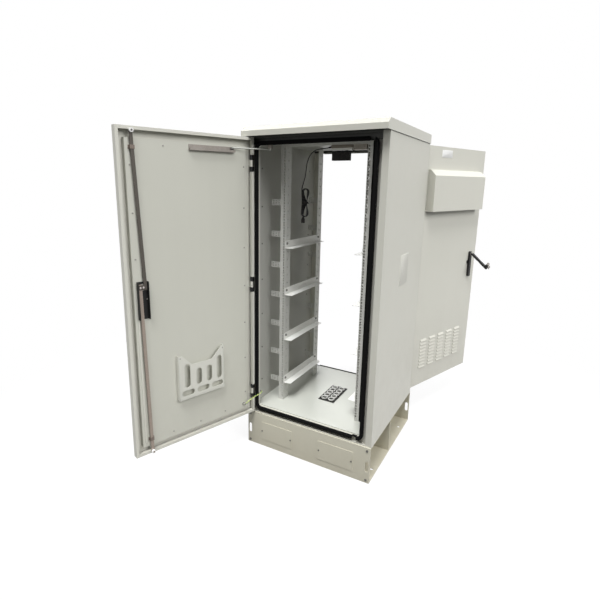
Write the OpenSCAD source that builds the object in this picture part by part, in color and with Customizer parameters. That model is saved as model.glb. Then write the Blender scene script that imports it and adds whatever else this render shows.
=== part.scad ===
// Roadside utility cabinet: double-wall body on a plinth, roof with a bevelled front edge,
// doors front and rear with three-point locks, equipment rails inside. Millimetres.
// Front faces -Y, Z is up, the floor under the plinth is Z = 0. Both doors stand open.

/* [Body] */
// width over the side panels
body_w = 750; // [700:10:850]
// depth between the front and rear flange faces
body_d = 730; // [680:10:850]
// height between plinth and roof
body_h = 1530; // [1400:10:1700]
// thickness of the body sheet
sheet = 2; // [1.5:0.1:2.5]
// width of the side flanges that face the doors
side_flange = 32; // [28:1:40]
// height of the top and bottom flanges that face the doors
end_flange = 8; // [7:0.5:9]
// depth of the rain gutter behind the flanges
gutter_d = 22; // [20:1:28]
// distance of the opening lip from the body side
opening_side = 62; // [60:1:64]
// distance of the opening lip from the body top
opening_top = 38; // [36:1:40]
// distance of the opening lip from the body bottom
opening_foot = 36; // [34:1:38]
// how far the lip stays behind the flange face
lip_back = 6; // [5:0.5:8]
// corner radius of the opening
opening_r = 20; // [15:1:30]
// space between side panel and inner liner
wall_gap = 28; // [24:1:32]
// height of the inner floor above the plinth
floor_rise = 42; // [38:1:44]
// drop of the ceiling below the body top
ceiling_drop = 24; // [20:1:28]
// how far the rubber seal reaches into the opening
seal_in = 4; // [3:0.5:5]
// how far the rubber seal reaches over the gutter
seal_out = 16; // [14:1:18]
// gap between a closed door liner and the seal
seal_gap = 0.5; // [0.3:0.1:1]

/* [Roof] */
// height of the roof cap
roof_h = 48; // [40:1:60]
// front overhang of the roof
roof_front = 50; // [45:1:80]
// side overhang of the roof
roof_side = 5; // [4:1:10]
// rear overhang of the roof
roof_rear = 2; // [0:1:10]
// depth of the bevel along the front edge
bevel_run = 25; // [15:1:40]
// height of the upright front face below the bevel
roof_face = 26; // [20:1:32]
// width of the turned-in flange that rests on the body
roof_seat = 30; // [20:1:40]

/* [Plinth] */
// height of the plinth
plinth_h = 200; // [180:5:250]
// how far the plinth stands proud of the flange faces
plinth_proud = 6; // [4:1:12]
// thickness of the plinth steel
plinth_t = 3; // [2:0.5:4]
// depth of the side channels
channel_d = 100; // [80:5:100]
// width of the turned-in flanges front and rear
foot_w = 50; // [40:2:70]
// width of an access cover
cover_w = 204; // [160:2:210]
// height of an access cover
cover_h = 110; // [90:2:130]
// distance between the two access covers
cover_apart = 160; // [150:5:180]
// height of the covers above the floor
cover_z = 40; // [30:2:50]
// lap of a cover over its opening
cover_lap = 12; // [10:1:16]
// width of a lifting slot
lift_w = 18; // [14:1:20]
// height of a lifting slot
lift_h = 58; // [40:2:70]
// distance of the lifting slots from the plinth end
lift_in = 16; // [14:1:20]
// height of the lifting slot's middle above the floor
lift_z = 92; // [80:2:110]
// diameter of an anchor hole
anchor_d = 16; // [10:1:20]
// distance of the anchor holes from the plinth side
anchor_in = 27; // [20:1:40]
// distance between anchor holes from front to rear
anchor_span = 500; // [400:10:560]
// diameter of a plinth bolt head
bolt_d = 12; // [9:0.5:13]
// distance of the corner bolts from the plinth edges
bolt_in = 17; // [14:1:24]

/* [Rails and floor] */
// distance of the equipment rails' inner edge from the body side
rail_in = 150; // [140:5:155]
// width of the rail flange with the fixing holes
rail_flange = 30; // [28:1:36]
// depth of a rail
rail_d = 60; // [50:2:80]
// thickness of the rail steel
rail_t = 2; // [1.5:0.1:3]
// distance of the rails behind the flange faces
rail_back = 140; // [135:5:180]
// size of a square fixing hole
rail_hole = 9.5; // [7:0.5:10]
// height of one equipment unit
unit_h = 44.45; // [44.45:0.05:45]
// length of a cable lug
lug_l = 76; // [60:2:78]
// height of a cable lug
lug_h = 31; // [26:1:34]
// spacing of the cable lugs
lug_pitch = 172; // [150:2:180]
// width of a shelf angle
angle_w = 45; // [35:1:55]
// height of a shelf angle
angle_h = 40; // [30:1:44]
// width of the gland plate
gland_w = 100; // [90:2:140]
// length of the gland plate
gland_l = 212; // [200:2:260]
// diameter of a cable entry
entry_d = 30; // [24:1:32]
// height of a cable entry ring
entry_h = 10; // [6:1:14]

/* [Lamp] */
// length of the lamp
lamp_l = 115; // [110:5:140]
// width of the lamp
lamp_w = 30; // [24:1:36]
// height of the lamp housing
lamp_h = 15; // [12:1:18]
// height of the diffuser
diffuser_h = 11; // [8:1:12]
// distance of the lamp from the right rail
lamp_in = 75; // [72:1:80]
// length of the driver box
driver_l = 66; // [50:2:68]
// length of the socket box
socket_l = 90; // [70:5:100]
// height of the socket box
socket_h = 40; // [30:1:50]

/* [Doors] */
// distance of the free door edge from the body side
door_side = 15; // [14:0.5:16]
// distance of the hinged door edge from the body side
door_hinge_side = 25; // [24:0.5:26]
// distance of the door from the body bottom
door_bottom = 10; // [8:0.5:11]
// distance of the door from the body top
door_top = 4; // [3:0.5:5]
// gap between door rim and body flange
door_gap = 2; // [2:0.1:3]
// thickness of a door
door_t = 30; // [29:0.5:34]
// width of the door rim
rim_w = 14; // [13:0.5:15]
// depth of the return behind the rim
rim_return = 18; // [16:0.5:20]
// distance of the raised liner from the free door edge
liner_free = 38; // [37:0.5:39]
// distance of the raised liner from the hinged door edge
liner_hinge = 53; // [51:0.5:55]
// distance of the raised liner from the door top
liner_top = 46; // [44:0.5:48]
// distance of the raised liner from the door bottom
liner_foot = 39; // [37:0.5:41]
// how far the liner face stays behind the rim
liner_back = 6; // [5.5:0.1:6.5]
// opening angle of the front door
front_open = 108; // [90:0.1:108.5]
// opening angle of the rear door
rear_open = 109.4; // [90:0.1:109.6]
// outer radius of the bend along the door edge at the hinges
door_bend = 3; // [2.5:0.5:4]
// distance of the hinge axis from the door edge
hinge_in = 9; // [8.8:0.1:9.2]
// distance of the hinge axis behind the rim
hinge_back = 14; // [13.5:0.1:14.5]
// distance of the upper hinge from the body top
hinge_top = 131; // [100:1:150]
// height of the lower hinge above the body bottom
hinge_low = 136; // [100:1:150]
// diameter of a hinge pin
hinge_pin_d = 8; // [6:0.5:8.5]
// diameter of a hinge knuckle
knuckle_d = 14; // [12:0.5:15]
// height of a body knuckle
knuckle_h = 25; // [20:1:28]
// height of the door knuckle between two body knuckles
knuckle_mid = 33; // [28:1:36]
// running clearance of pins and axles
run = 0.1; // [0.08:0.01:0.12]

/* [Lock] */
// distance of the lock spindle from the free door edge
spindle_in = 78; // [77:1:79]
// height of the lock spindle above the body bottom
spindle_up = 840; // [780:5:900]
// diameter of the spindle
spindle_d = 12; // [10:0.5:13]
// diameter of the cam disc
cam_d = 30; // [26:1:31]
// travel of the lock rods
lock_throw = 10; // [9:0.2:10.2]
// width of a lock rod
rod_w = 15; // [14:0.5:15.4]
// thickness of a lock rod
rod_t = 5; // [4.5:0.1:5.2]
// sideways offset of each rod from the spindle
rod_side = 12; // [11.6:0.1:12.2]
// sideways offset of the upper roller from the spindle
roller_up = 14; // [10:1:15]
// sideways offset of the lower roller from the spindle
roller_down = -2; // [-4:1:4]
// diameter of a lock roller
roller_d = 18; // [16:0.2:18.4]
// width of a lock roller
roller_w = 10; // [8:0.5:11]
// distance of a withdrawn roller from the body end
roller_in = 22; // [21.8:0.1:22.4]
// diameter of a roller axle
axle_d = 5; // [4:0.5:5.5]
// width of the lock case
case_w = 50; // [48.5:0.5:50.5]
// length of the lock case
case_l = 175; // [160:5:190]
// depth of the lock case
case_d = 21; // [18:1:22]
// width of the outer handle base
handle_w = 24; // [22:1:28]
// length of the outer handle base
handle_l = 176; // [170:2:190]
// thickness of the outer handle base
handle_t = 14; // [10:1:18]
// length of the lever
lever_l = 140; // [120:5:150]
// thickness of the lever
lever_t = 12; // [10:0.5:13]
// angle at which the levers stand lifted
lever_lift = 52; // [30:1:70]

/* [Front door fittings] */
// width of the document pocket
pocket_w = 262; // [240:2:280]
// height of the document pocket
pocket_h = 236; // [220:2:260]
// depth of the document pocket
pocket_d = 25; // [20:1:30]
// height of the pocket above the body bottom
pocket_up = 236; // [200:2:260]
// length of the stay channel
stay_l = 250; // [230:5:260]
// height of the stay channel
stay_h = 26; // [24:1:28]
// depth of the stay channel
stay_d = 15; // [13:0.5:16]
// diameter of the stay rod
stay_rod_d = 8; // [6:0.5:8]
// distance of the stay rod below the body top
stay_down = 62; // [61:0.5:63]

/* [Rear door fittings] */
// distance of the vent hood's sides from the body sides
hood_in = 75; // [65:5:120]
// height of the vent hood
hood_h = 243; // [220:3:280]
// depth of the vent hood
hood_d = 48; // [40:1:60]
// distance of the hood's upper edge below the body top
hood_down = 140; // [120:5:180]
// width of a louvre
louvre_w = 67; // [60:1:80]
// clearance between the filter cassette and the lock rod
filter_clear = 21; // [16:1:24]
// how far the filter cassette reaches past the louvres
filter_lap = 10; // [6:1:16]
// upward pitch of the louvres
louvre_pz = 22.5; // [20:0.5:24]
// outward throw of a louvre
louvre_d = 7; // [5:0.5:9]
// height of the lowest louvre above the body bottom
louvre_up = 135; // [120:5:160]
// thickness of the filter cassette
filter_t = 20; // [15:1:30]

/* [Hidden] */
$fn = 32;
hw = body_w / 2;
hd = body_d / 2;
z0 = plinth_h;
z1 = plinth_h + body_h;
yf = -hd;
eps = 1;

// opening and gutter
lip_x = hw - opening_side;
lip_z0 = z0 + opening_foot;
lip_z1 = z1 - opening_top;
lip_y = yf + lip_back;
gut_y = yf + gutter_d;
back_y = gut_y + sheet;
liner_x = hw - sheet - wall_gap - sheet;
floor_z = z0 + floor_rise;
ceil_z = z1 - ceiling_drop;

// door planes, in the closed position of the front door
door_x = hw - door_side;
door_l = door_hinge_side - hw;
door_mid = (door_l + door_x) / 2;
door_hx = (door_x - door_l) / 2;
door_z0 = z0 + door_bottom;
door_z1 = z1 - door_top;
rim_y = yf - door_gap;
skin_y = rim_y - door_t;
face_y = rim_y - liner_back;
face_x = door_x - liner_free;
face_l = door_l + liner_hinge;
face_z0 = door_z0 + liner_foot;
face_z1 = door_z1 - liner_top;
axis_x = door_l + hinge_in;
axis_y = rim_y - hinge_back;
hinge_heights = [z1 - hinge_top, z0 + body_h * 0.499, z0 + hinge_low];
notch_h = knuckle_mid + 2 * knuckle_h + 2;

// seal
seal_front = face_y + seal_gap;
crest_in = seal_in - 3;
crest_out = seal_out - 7;

// lock
lock_x = door_x - spindle_in;
lock_z = z0 + spindle_up;
rod_up_x = lock_x - rod_side;
rod_dn_x = lock_x + rod_side;
roller_x1 = lock_x + roller_up;
roller_x0 = lock_x + roller_down;
case_base = 3;
case_wall = 2.5;
cam_t = 3.5;
cam_y = face_y + case_base + 0.2;
rod_y = cam_y + cam_t + 0.3;
pin_d = 5;
pin_circle = lock_throw / sqrt(2);
pin_off = lock_throw / 2;
fork_gap = 0.5;
roller_y = rod_y + rod_t + 1;
roller_z1 = z1 - roller_in;
roller_z0 = z0 + roller_in;
tip = axle_d / 2 + 0.5;
handle_y = skin_y - handle_t;
head_t = 3;
pivot_y = handle_y - 0.3 - head_t - lever_t / 2 - 0.5;
tongue_w = 8;
guide_h = 16;
guide_in = 38;

// stay
stay_z = z1 - stay_down;
stay_px = axis_x + 85;
stay_py = back_y + 8;
stay_eye_d = 12;
stay_end_x = axis_x + 128;
stay_end_y = face_y + 9;
stay_ch_x = axis_x + 114;
stay_ch_z = stay_z + 3 - stay_h;
stay_top_z = stay_z - stay_rod_d / 2;
function turned(x, y, a) = [
  axis_x + (x - axis_x) * cos(a) + (y - axis_y) * sin(a),
  axis_y - (x - axis_x) * sin(a) + (y - axis_y) * cos(a)
];
stay_tip = turned(stay_end_x, stay_end_y, front_open);
stay_len = norm(stay_tip - [stay_px, stay_py]);
stay_ang = atan2(stay_tip[1] - stay_py, stay_tip[0] - stay_px);

// rails
rail_x = hw - rail_in;
rail_y = yf + rail_back;
rail_h = ceil_z - floor_z;
units = floor((rail_h - 16) / unit_h);
unit_z = floor_z + (rail_h - units * unit_h) / 2;
unit_holes = [6.35, 22.225, 38.1];
lug_count = floor((rail_h - 300) / lug_pitch) + 1;
lug_z = floor_z + 126;
shelf_z = floor_z + 109;
shelf_step = 6 * unit_h;
shelf_last = floor((rail_h - 500) / shelf_step);
bar_h = 18;
bar_d = 20;
bar_back = rail_y + rail_t + bar_d;

// lamp
lamp_x1 = rail_x - lamp_in;
lamp_z = ceil_z - bar_h;
lamp_y = rail_y + rail_t + bar_d / 2;

// plinth
plinth_y = yf - plinth_proud;
inner_y = plinth_y + plinth_t;
cover_mid = cover_apart / 2 + cover_w / 2;

// routes of the lamp lead and of the earth wire
lead_d = 6;
lead_from = [lamp_x1 - lamp_l - 0.5, lamp_y, lamp_z - lamp_h / 2];
lead_route = [for (p = [[0, 0, 0], [-40, 0, -6], [-90, -1, -12], [-122, -3, -38],
  [-138, -5, -80], [-142, -6, -132], [-142, -7, -198]]) lead_from + p];
hank_top = lead_route[6];
earth_d = 5;
earth_z = z0 + 79;
earth_x = axis_x + 68;
stud_y = back_y + 14;
stud_z = z0 + 118;
stud_l = 16;
earth_route = [for (p = [[1, -71, 79], [12, -74, 92], [27, -62, 110], [41, -30, 122],
  [44, 6, 122], [41, 36, 120], [32, 51, 118], [15, 54, 118]]) [axis_x, axis_y, z0] + p];

// vent and filter of the rear door
hood_w = body_w - 2 * hood_in;
hood_z = z1 - hood_down - hood_h;
vent_x = hood_w / 2 - 40;
vent_z0 = hood_z + 60;
vent_z1 = hood_z + hood_h - 70;
filter_x = roller_x0 - rod_w / 2 - filter_clear;
filter_z0 = z0 + louvre_up - 20;
filter_z1 = z0 + louvre_up + 8 * louvre_pz + 26;
louvre_px = (filter_x - filter_lap - louvre_w / 2) / 2;
slot_px = vent_x / 7.2;

// piece to build, or all of them

// box from its low corner to its high corner
module block(a, b) {
  translate(a) cube(b - a);
}

// upright ring in the XZ plane, w wide
module ring(y0, y1, hx, za, zb, w) {
  difference() {
    block([-hx, y0, za], [hx, y1, zb]);
    block([w - hx, y0 - eps, za + w], [hx - w, y1 + eps, zb - w]);
  }
}

// rectangle with round corners
module soft_square(x0, x1, y0, y1, r) {
  translate([x0 + r, y0]) square([x1 - x0 - 2 * r, y1 - y0]);
  translate([x0, y0 + r]) square([x1 - x0, y1 - y0 - 2 * r]);
  for (x = [x0 + r, x1 - r], y = [y0 + r, y1 - r])
    translate([x, y]) circle(r);
}

// drawing in X and Z made into a plate from y0 to y1
module standing(y0, y1) {
  translate([0, y1, 0]) rotate([90, 0, 0]) linear_extrude(y1 - y0) children();
}

// drawing in Y and Z made into a bar from x0 to x1
module along_x(x0, x1) {
  translate([x0, 0, 0]) rotate([90, 0, 90]) linear_extrude(x1 - x0) children();
}

// round bar along Y
module bar_y(x, z, y0, y1, d) {
  translate([x, y1, z]) rotate([90, 0, 0]) cylinder(d = d, h = y1 - y0);
}

// round bar along X
module bar_x(y, z, x0, x1, d) {
  translate([x0, y, z]) rotate([0, 90, 0]) cylinder(d = d, h = x1 - x0);
}

// the same thing at the rear, turned half round
module at_rear() {
  rotate([0, 0, 180]) children();
}

// closed front door swung open about its hinge axis
module swung(a) {
  translate([axis_x, axis_y, 0]) rotate([0, 0, -a]) translate([-axis_x, -axis_y, 0]) children();
}

module on_front() {
  swung(front_open) children();
}

module on_rear() {
  at_rear() swung(rear_open) children();
}

// smooth tube through a list of points
function unit(v) = v / norm(v);
function blend(a, b, c, d, t) = (2 * b + (c - a) * t + (2 * a - 5 * b + 4 * c - d) * t * t
  + (3 * b - a - 3 * c + d) * t * t * t) / 2;
function smooth(p, n) = concat([for (i = [0 : len(p) - 2], k = [0 : n - 1])
  blend(p[max(i - 1, 0)], p[i], p[i + 1], p[min(i + 2, len(p) - 1)], k / n)], [p[len(p) - 1]]);
function heading(c, i) = unit(c[min(i + 1, len(c) - 1)] - c[max(i - 1, 0)]);
function sideways(c, i) = unit(cross(heading(c, i), [0.2, 1, 0.3]));
function hoop(c, i, r, s) = [for (k = [0 : s - 1]) c[i] + r * (cos(360 * k / s) * sideways(c, i)
  + sin(360 * k / s) * cross(heading(c, i), sideways(c, i)))];

module tube(route, steps, d, s) {
  c = smooth(route, steps);
  n = len(c);
  pts = [for (i = [0 : n - 1]) each hoop(c, i, d / 2, s)];
  walls = [for (i = [0 : n - 2], k = [0 : s - 1]) each [
    [i * s + k, (i + 1) * s + k, (i + 1) * s + (k + 1) % s],
    [i * s + k, (i + 1) * s + (k + 1) % s, i * s + (k + 1) % s]]];
  ends = [[for (k = [0 : s - 1]) k], [for (k = [0 : s - 1]) n * s - 1 - k]];
  polyhedron(points = pts, faces = concat(walls, ends));
}

// plinth panel with two access openings, lifting slots and turned-in flanges
module plinth_panel() {
  flange_x = hw - channel_d;
  difference() {
    union() {
      block([-hw, plinth_y, 0], [hw, inner_y, plinth_h]);
      block([-flange_x, inner_y, 0], [flange_x, inner_y + foot_w, plinth_t]);
      block([-flange_x, inner_y, plinth_h - plinth_t], [flange_x, inner_y + foot_w, plinth_h]);
    }
    for (s = [-1, 1]) {
      standing(plinth_y - eps, inner_y + eps)
        soft_square(s * cover_mid - cover_w / 2 + cover_lap, s * cover_mid + cover_w / 2 - cover_lap,
          cover_z + cover_lap, cover_z + cover_h - cover_lap, 8);
      standing(plinth_y - eps, inner_y + eps)
        soft_square(s * (hw - lift_in) - lift_w / 2, s * (hw - lift_in) + lift_w / 2,
          lift_z - lift_h / 2, lift_z + lift_h / 2, lift_w / 2 - 0.01);
    }
  }
}

module plinth_front() {
  color([0.62, 0.61, 0.54]) plinth_panel();
}

module plinth_rear() {
  color([0.62, 0.61, 0.54]) at_rear() plinth_panel();
}

// channel open to the side, with anchor holes in its foot and a stiffening plate
module plinth_channel() {
  x0 = hw - channel_d;
  difference() {
    union() {
      block([x0, inner_y, 0], [hw, -inner_y, plinth_t]);
      block([x0, inner_y, plinth_h - plinth_t], [hw, -inner_y, plinth_h]);
      block([x0, inner_y, 0], [x0 + plinth_t, -inner_y, plinth_h]);
      block([x0, -30 - plinth_t, 0], [hw - plinth_t, -30, plinth_h]);
    }
    for (s = [-1, 1])
      translate([hw - anchor_in, s * anchor_span / 2, -eps]) cylinder(d = anchor_d, h = plinth_t + 2 * eps);
  }
}

module plinth_sides() {
  color([0.6, 0.59, 0.53]) {
    plinth_channel();
    mirror([1, 0, 0]) plinth_channel();
  }
}

module cover_pair() {
  for (s = [-1, 1])
    standing(plinth_y - sheet, plinth_y)
      soft_square(s * cover_mid - cover_w / 2, s * cover_mid + cover_w / 2, cover_z, cover_z + cover_h, 6);
}

module access_covers() {
  color([0.64, 0.63, 0.56]) {
    cover_pair();
    at_rear() cover_pair();
  }
}

module bolt_heads() {
  for (s = [-1, 1], z = [bolt_in, plinth_h - bolt_in])
    bar_y(s * (hw - bolt_in), z, plinth_y - 4, plinth_y, bolt_d);
  for (s = [-1, 1], t = [-1, 1])
    bar_y(s * cover_mid + t * (cover_w / 2 - 8), cover_z + cover_h / 2, plinth_y - sheet - 3,
      plinth_y - sheet, bolt_d * 0.7);
}

module plinth_bolts() {
  color([0.45, 0.45, 0.42]) {
    bolt_heads();
    at_rear() bolt_heads();
  }
}

// side panel folded round to the front and the rear
module folded_side() {
  translate([0, 0, z0]) linear_extrude(body_h) difference() {
    translate([hw - side_flange, yf]) square([side_flange, body_d]);
    translate([hw - side_flange - eps, yf + sheet])
      square([side_flange - sheet + eps, body_d - 2 * sheet]);
  }
}

module side_panel_right() {
  color([0.77, 0.77, 0.73]) folded_side();
}

module side_panel_left() {
  color([0.77, 0.77, 0.73]) mirror([1, 0, 0]) folded_side();
}

// door frame: end flanges, rain gutter and the lip that carries the seal
module door_frame() {
  inner = hw - sheet;
  flange_x = hw - side_flange;
  difference() {
    union() {
      block([-inner, gut_y, z0], [inner, back_y, z1]);
      block([-inner, yf + sheet, z0], [inner, gut_y, z0 + sheet]);
      block([-inner, yf + sheet, z1 - sheet], [inner, gut_y, z1]);
      block([-flange_x, yf, z0], [flange_x, yf + sheet, z0 + end_flange]);
      block([-flange_x, yf, z1 - end_flange], [flange_x, yf + sheet, z1]);
      standing(lip_y, gut_y)
        soft_square(-lip_x - sheet, lip_x + sheet, lip_z0 - sheet, lip_z1 + sheet, opening_r + sheet);
    }
    standing(lip_y - eps, back_y + eps) soft_square(-lip_x, lip_x, lip_z0, lip_z1, opening_r);
  }
}

module front_frame() {
  color([0.72, 0.72, 0.68]) door_frame();
}

module rear_frame() {
  color([0.72, 0.72, 0.68]) at_rear() door_frame();
}

// ring drawn round the opening, from inside the lip line to outside it
module lip_ring(y0, y1, i, o) {
  difference() {
    standing(y0, y1)
      soft_square(-lip_x - o, lip_x + o, lip_z0 - o, lip_z1 + o, opening_r + o);
    standing(y0 - eps, y1 + eps)
      soft_square(i - lip_x, lip_x - i, lip_z0 + i, lip_z1 - i, opening_r - i);
  }
}

// rubber seal on the lip, parted where the lock rods pass
module seal() {
  step_y = (seal_front + lip_y) / 2;
  half = rod_w / 2 + 5;
  mid = (lip_z0 + lip_z1) / 2;
  difference() {
    union() {
      lip_ring(step_y, lip_y, seal_in, seal_out);
      lip_ring(seal_front, step_y, crest_in, crest_out);
    }
    block([roller_x1 - half, seal_front - eps, mid], [roller_x1 + half, lip_y + eps, z1]);
    block([roller_x0 - half, seal_front - eps, z0], [roller_x0 + half, lip_y + eps, mid]);
  }
}

module door_seals() {
  color([0.06, 0.06, 0.06]) {
    seal();
    at_rear() seal();
  }
}

module wall_liners() {
  color([0.7, 0.7, 0.66])
    union() {
      for (s = [0, 1])
        mirror([s, 0, 0]) block([liner_x, back_y, z0], [liner_x + sheet, -back_y, z1 - sheet]);
      bar_x(stud_y, stud_z, -liner_x, stud_l - liner_x, 8);
    }
}

// top sheet and ceiling, joined at the front and the rear
module top_panel() {
  color([0.7, 0.7, 0.66]) {
    block([-hw + sheet, back_y, z1 - sheet], [hw - sheet, -back_y, z1]);
    block([-liner_x, back_y, ceil_z], [liner_x, -back_y, ceil_z + sheet]);
    block([-liner_x, back_y, ceil_z], [liner_x, back_y + sheet, z1 - sheet]);
    block([-liner_x, -back_y - sheet, ceil_z], [liner_x, -back_y, z1 - sheet]);
  }
}

// folded roof cap with a bevelled front edge and flanges that rest on the body
module roof_cap() {
  x1 = hw + roof_side;
  y0 = yf - roof_front;
  y1 = hd + roof_rear;
  zt = z1 + roof_h;
  slope = atan2(roof_h - roof_face, bevel_run);
  k = sheet * tan(slope / 2);
  m = sheet * tan((90 - slope) / 2);
  color([0.8, 0.8, 0.76]) difference() {
    along_x(-x1, x1)
      polygon([[y0, z1], [y0, z1 + roof_face], [y0 + bevel_run, zt], [y1, zt], [y1, z1]]);
    along_x(sheet - x1, x1 - sheet)
      polygon([[y0 + sheet, z1 + sheet], [y0 + sheet, z1 + roof_face - m],
        [y0 + bevel_run + k, zt - sheet], [y1 - sheet, zt - sheet], [y1 - sheet, z1 + sheet]]);
    block([sheet - x1, yf + roof_seat, z1 - eps], [x1 - sheet, hd - roof_seat, z1 + sheet + eps]);
  }
}

// raised floor with its edges turned down and an opening under the gland plate
module floor_tray() {
  lap = 8;
  color([0.66, 0.66, 0.62]) {
    difference() {
      block([-liner_x, back_y, z0], [liner_x, -back_y, floor_z]);
      block([sheet - liner_x, back_y + sheet, z0 - eps], [liner_x - sheet, -back_y - sheet, floor_z - sheet]);
      block([lap - gland_w / 2, lap - gland_l / 2, z0], [gland_w / 2 - lap, gland_l / 2 - lap, floor_z + eps]);
    }
  }
}

// gland plate bored for two rows of cable entries
module entry_grid() {
  for (x = [-1, 1], y = [-2 : 2])
    translate([x * gland_w * 0.22, y * gland_l * 0.18, floor_z]) children();
}

module gland_plate() {
  color([0.2, 0.2, 0.2]) difference() {
    block([-gland_w / 2, -gland_l / 2, floor_z], [gland_w / 2, gland_l / 2, floor_z + 3]);
    entry_grid() translate([0, 0, -eps]) cylinder(d = entry_d, h = 3 + 2 * eps);
  }
}

module cable_entries() {
  color([0.88, 0.88, 0.86]) entry_grid() translate([0, 0, 3]) difference() {
    cylinder(d = entry_d + 7, h = entry_h - 3);
    translate([0, 0, -eps]) cylinder(d = entry_d, h = entry_h);
  }
}

// angle rail with square holes in equipment units and slots in its side
module rail() {
  hole_x = rail_x + 7.5;
  difference() {
    union() {
      block([rail_x, rail_y, floor_z], [rail_x + rail_flange, rail_y + rail_t, ceil_z]);
      block([rail_x, rail_y, floor_z], [rail_x + rail_t, rail_y + rail_d, ceil_z]);
    }
    for (u = [0 : units - 1], h = unit_holes)
      translate([hole_x - rail_hole / 2, rail_y - eps, unit_z + u * unit_h + h - rail_hole / 2])
        cube([rail_hole, rail_t + 2 * eps, rail_hole]);
    for (u = [0 : units - 1])
      translate([rail_x - eps, rail_y + rail_d / 2 - 6, unit_z + u * unit_h + unit_h / 2 - 4])
        cube([rail_t + 2 * eps, 12, 8]);
  }
}

module rail_pair() {
  rail();
  mirror([1, 0, 0]) rail();
}

module front_rails() {
  color([0.74, 0.74, 0.72]) rail_pair();
}

module rear_rails() {
  color([0.74, 0.74, 0.72]) at_rear() rail_pair();
}

// slotted lugs for cable ties behind the rail flange
module lug_row() {
  x0 = rail_x + 13;
  y0 = rail_y + rail_t;
  for (i = [0 : lug_count - 1]) {
    z = lug_z + i * lug_pitch;
    difference() {
      standing(y0, y0 + rail_t) soft_square(x0, x0 + lug_l, z - lug_h / 2, z + lug_h / 2, 4);
      for (k = [0 : 2], j = [-1 : 1])
        block([x0 + lug_l - 52 + 17 * k, y0 - eps, z + lug_h * 0.29 * j - 2.5],
          [x0 + lug_l - 41 + 17 * k, y0 + rail_t + eps, z + lug_h * 0.29 * j + 2.5]);
    }
  }
}

module cable_lugs() {
  color([0.72, 0.72, 0.7])
    for (s = [0, 1], t = [0, 1])
      mirror([s, 0, 0]) mirror([0, t, 0]) lug_row();
}

// shelf angle from the front rail to the rear rail, its ledge cut to a slant at the rear
module shelf_angle() {
  y0 = rail_y + rail_t;
  y1 = -rail_y - rail_d / 2;
  translate([rail_x - angle_w, 0, 0]) linear_extrude(rail_t)
    polygon([[0, y0 + 3], [angle_w, y0], [angle_w, y1], [0, y1 - 16]]);
  block([rail_x - rail_t, y0, 0], [rail_x, y1, angle_h]);
}

module shelf_angles() {
  color([0.78, 0.78, 0.75])
    for (i = [0 : shelf_last], s = [0, 1])
      mirror([s, 0, 0]) translate([0, 0, shelf_z + i * shelf_step]) shelf_angle();
}

// channel between the tops of the front rails that carries the lamp
module lamp_bar() {
  y0 = rail_y + rail_t;
  color([0.72, 0.72, 0.7]) difference() {
    block([-rail_x, y0, lamp_z], [rail_x, y0 + bar_d, ceil_z]);
    block([-rail_x - eps, y0 + rail_t, lamp_z + rail_t], [rail_x + eps, y0 + bar_d - rail_t, ceil_z + eps]);
  }
}

module lamp_housing() {
  color([0.82, 0.82, 0.8])
    block([lamp_x1 - lamp_l, lamp_y - lamp_w / 2, lamp_z - lamp_h], [lamp_x1, lamp_y + lamp_w / 2, lamp_z]);
}

// diffuser with a rounded underside
module lamp_diffuser() {
  zb = lamp_z - lamp_h;
  r = diffuser_h / 2;
  color([0.93, 0.93, 0.9]) along_x(lamp_x1 - lamp_l + 4, lamp_x1 - 4) {
    translate([lamp_y - lamp_w / 2 + 2, zb - diffuser_h + r]) square([lamp_w - 4, diffuser_h - r]);
    translate([lamp_y - lamp_w / 2 + 2 + r, zb - diffuser_h]) square([lamp_w - 4 - 2 * r, r]);
    for (s = [-1, 1])
      translate([lamp_y + s * (lamp_w / 2 - 2 - r), zb - diffuser_h + r]) circle(r);
  }
}

// driver box with a row of vent slots in its front
module lamp_driver() {
  x0 = lamp_x1 + 3;
  y0 = lamp_y - lamp_w / 2;
  h = lamp_h + diffuser_h;
  color([0.42, 0.36, 0.3]) difference() {
    block([x0, y0, lamp_z - h], [x0 + driver_l, y0 + lamp_w, lamp_z]);
    for (k = [1 : 7])
      block([x0 + k * driver_l / 8 - 1.5, y0 - eps, lamp_z - h + 5], [x0 + k * driver_l / 8 + 1.5, y0 + 2, lamp_z - 5]);
  }
}

// socket box hung from the bar by two straps
module socket_box() {
  x0 = lamp_x1 - lamp_l + 5;
  y1 = lamp_y + lamp_w / 2 + 0.5;
  zt = lamp_z - lamp_h - diffuser_h - 8;
  color([0.07, 0.07, 0.07]) {
    block([x0, y1 - lamp_w, zt - socket_h], [x0 + socket_l, y1, zt]);
    for (k = [0.25, 0.75])
      block([x0 + k * socket_l - 6, y1, zt - 10], [x0 + k * socket_l + 6, y1 + 2, lamp_z + 2]);
    for (k = [0.25, 0.75])
      block([x0 + k * socket_l - 6, bar_back, lamp_z + 2], [x0 + k * socket_l + 6, y1 + 2, lamp_z + 4]);
  }
}

module lamp_lead() {
  color([0.05, 0.05, 0.05]) tube(lead_route, 6, lead_d, 8);
}

// spare lead gathered in a flat hank, with the plug at its free end
module lead_hank() {
  w = 44;
  l = 160;
  color([0.05, 0.05, 0.05]) translate([hank_top[0], hank_top[1], hank_top[2]]) {
    standing(-9, 9) difference() {
      soft_square(-w / 2, w / 2, -l, 0, w / 2 - 0.01);
      soft_square(13 - w / 2, w / 2 - 13, 13 - l, -13, w / 2 - 13.01);
    }
    block([-9, -7, -l - 28], [9, 7, 4 - l]);
  }
}

module earth_wire() {
  color([0.7, 0.75, 0.15]) tube(earth_route, 6, earth_d, 8);
}

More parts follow.
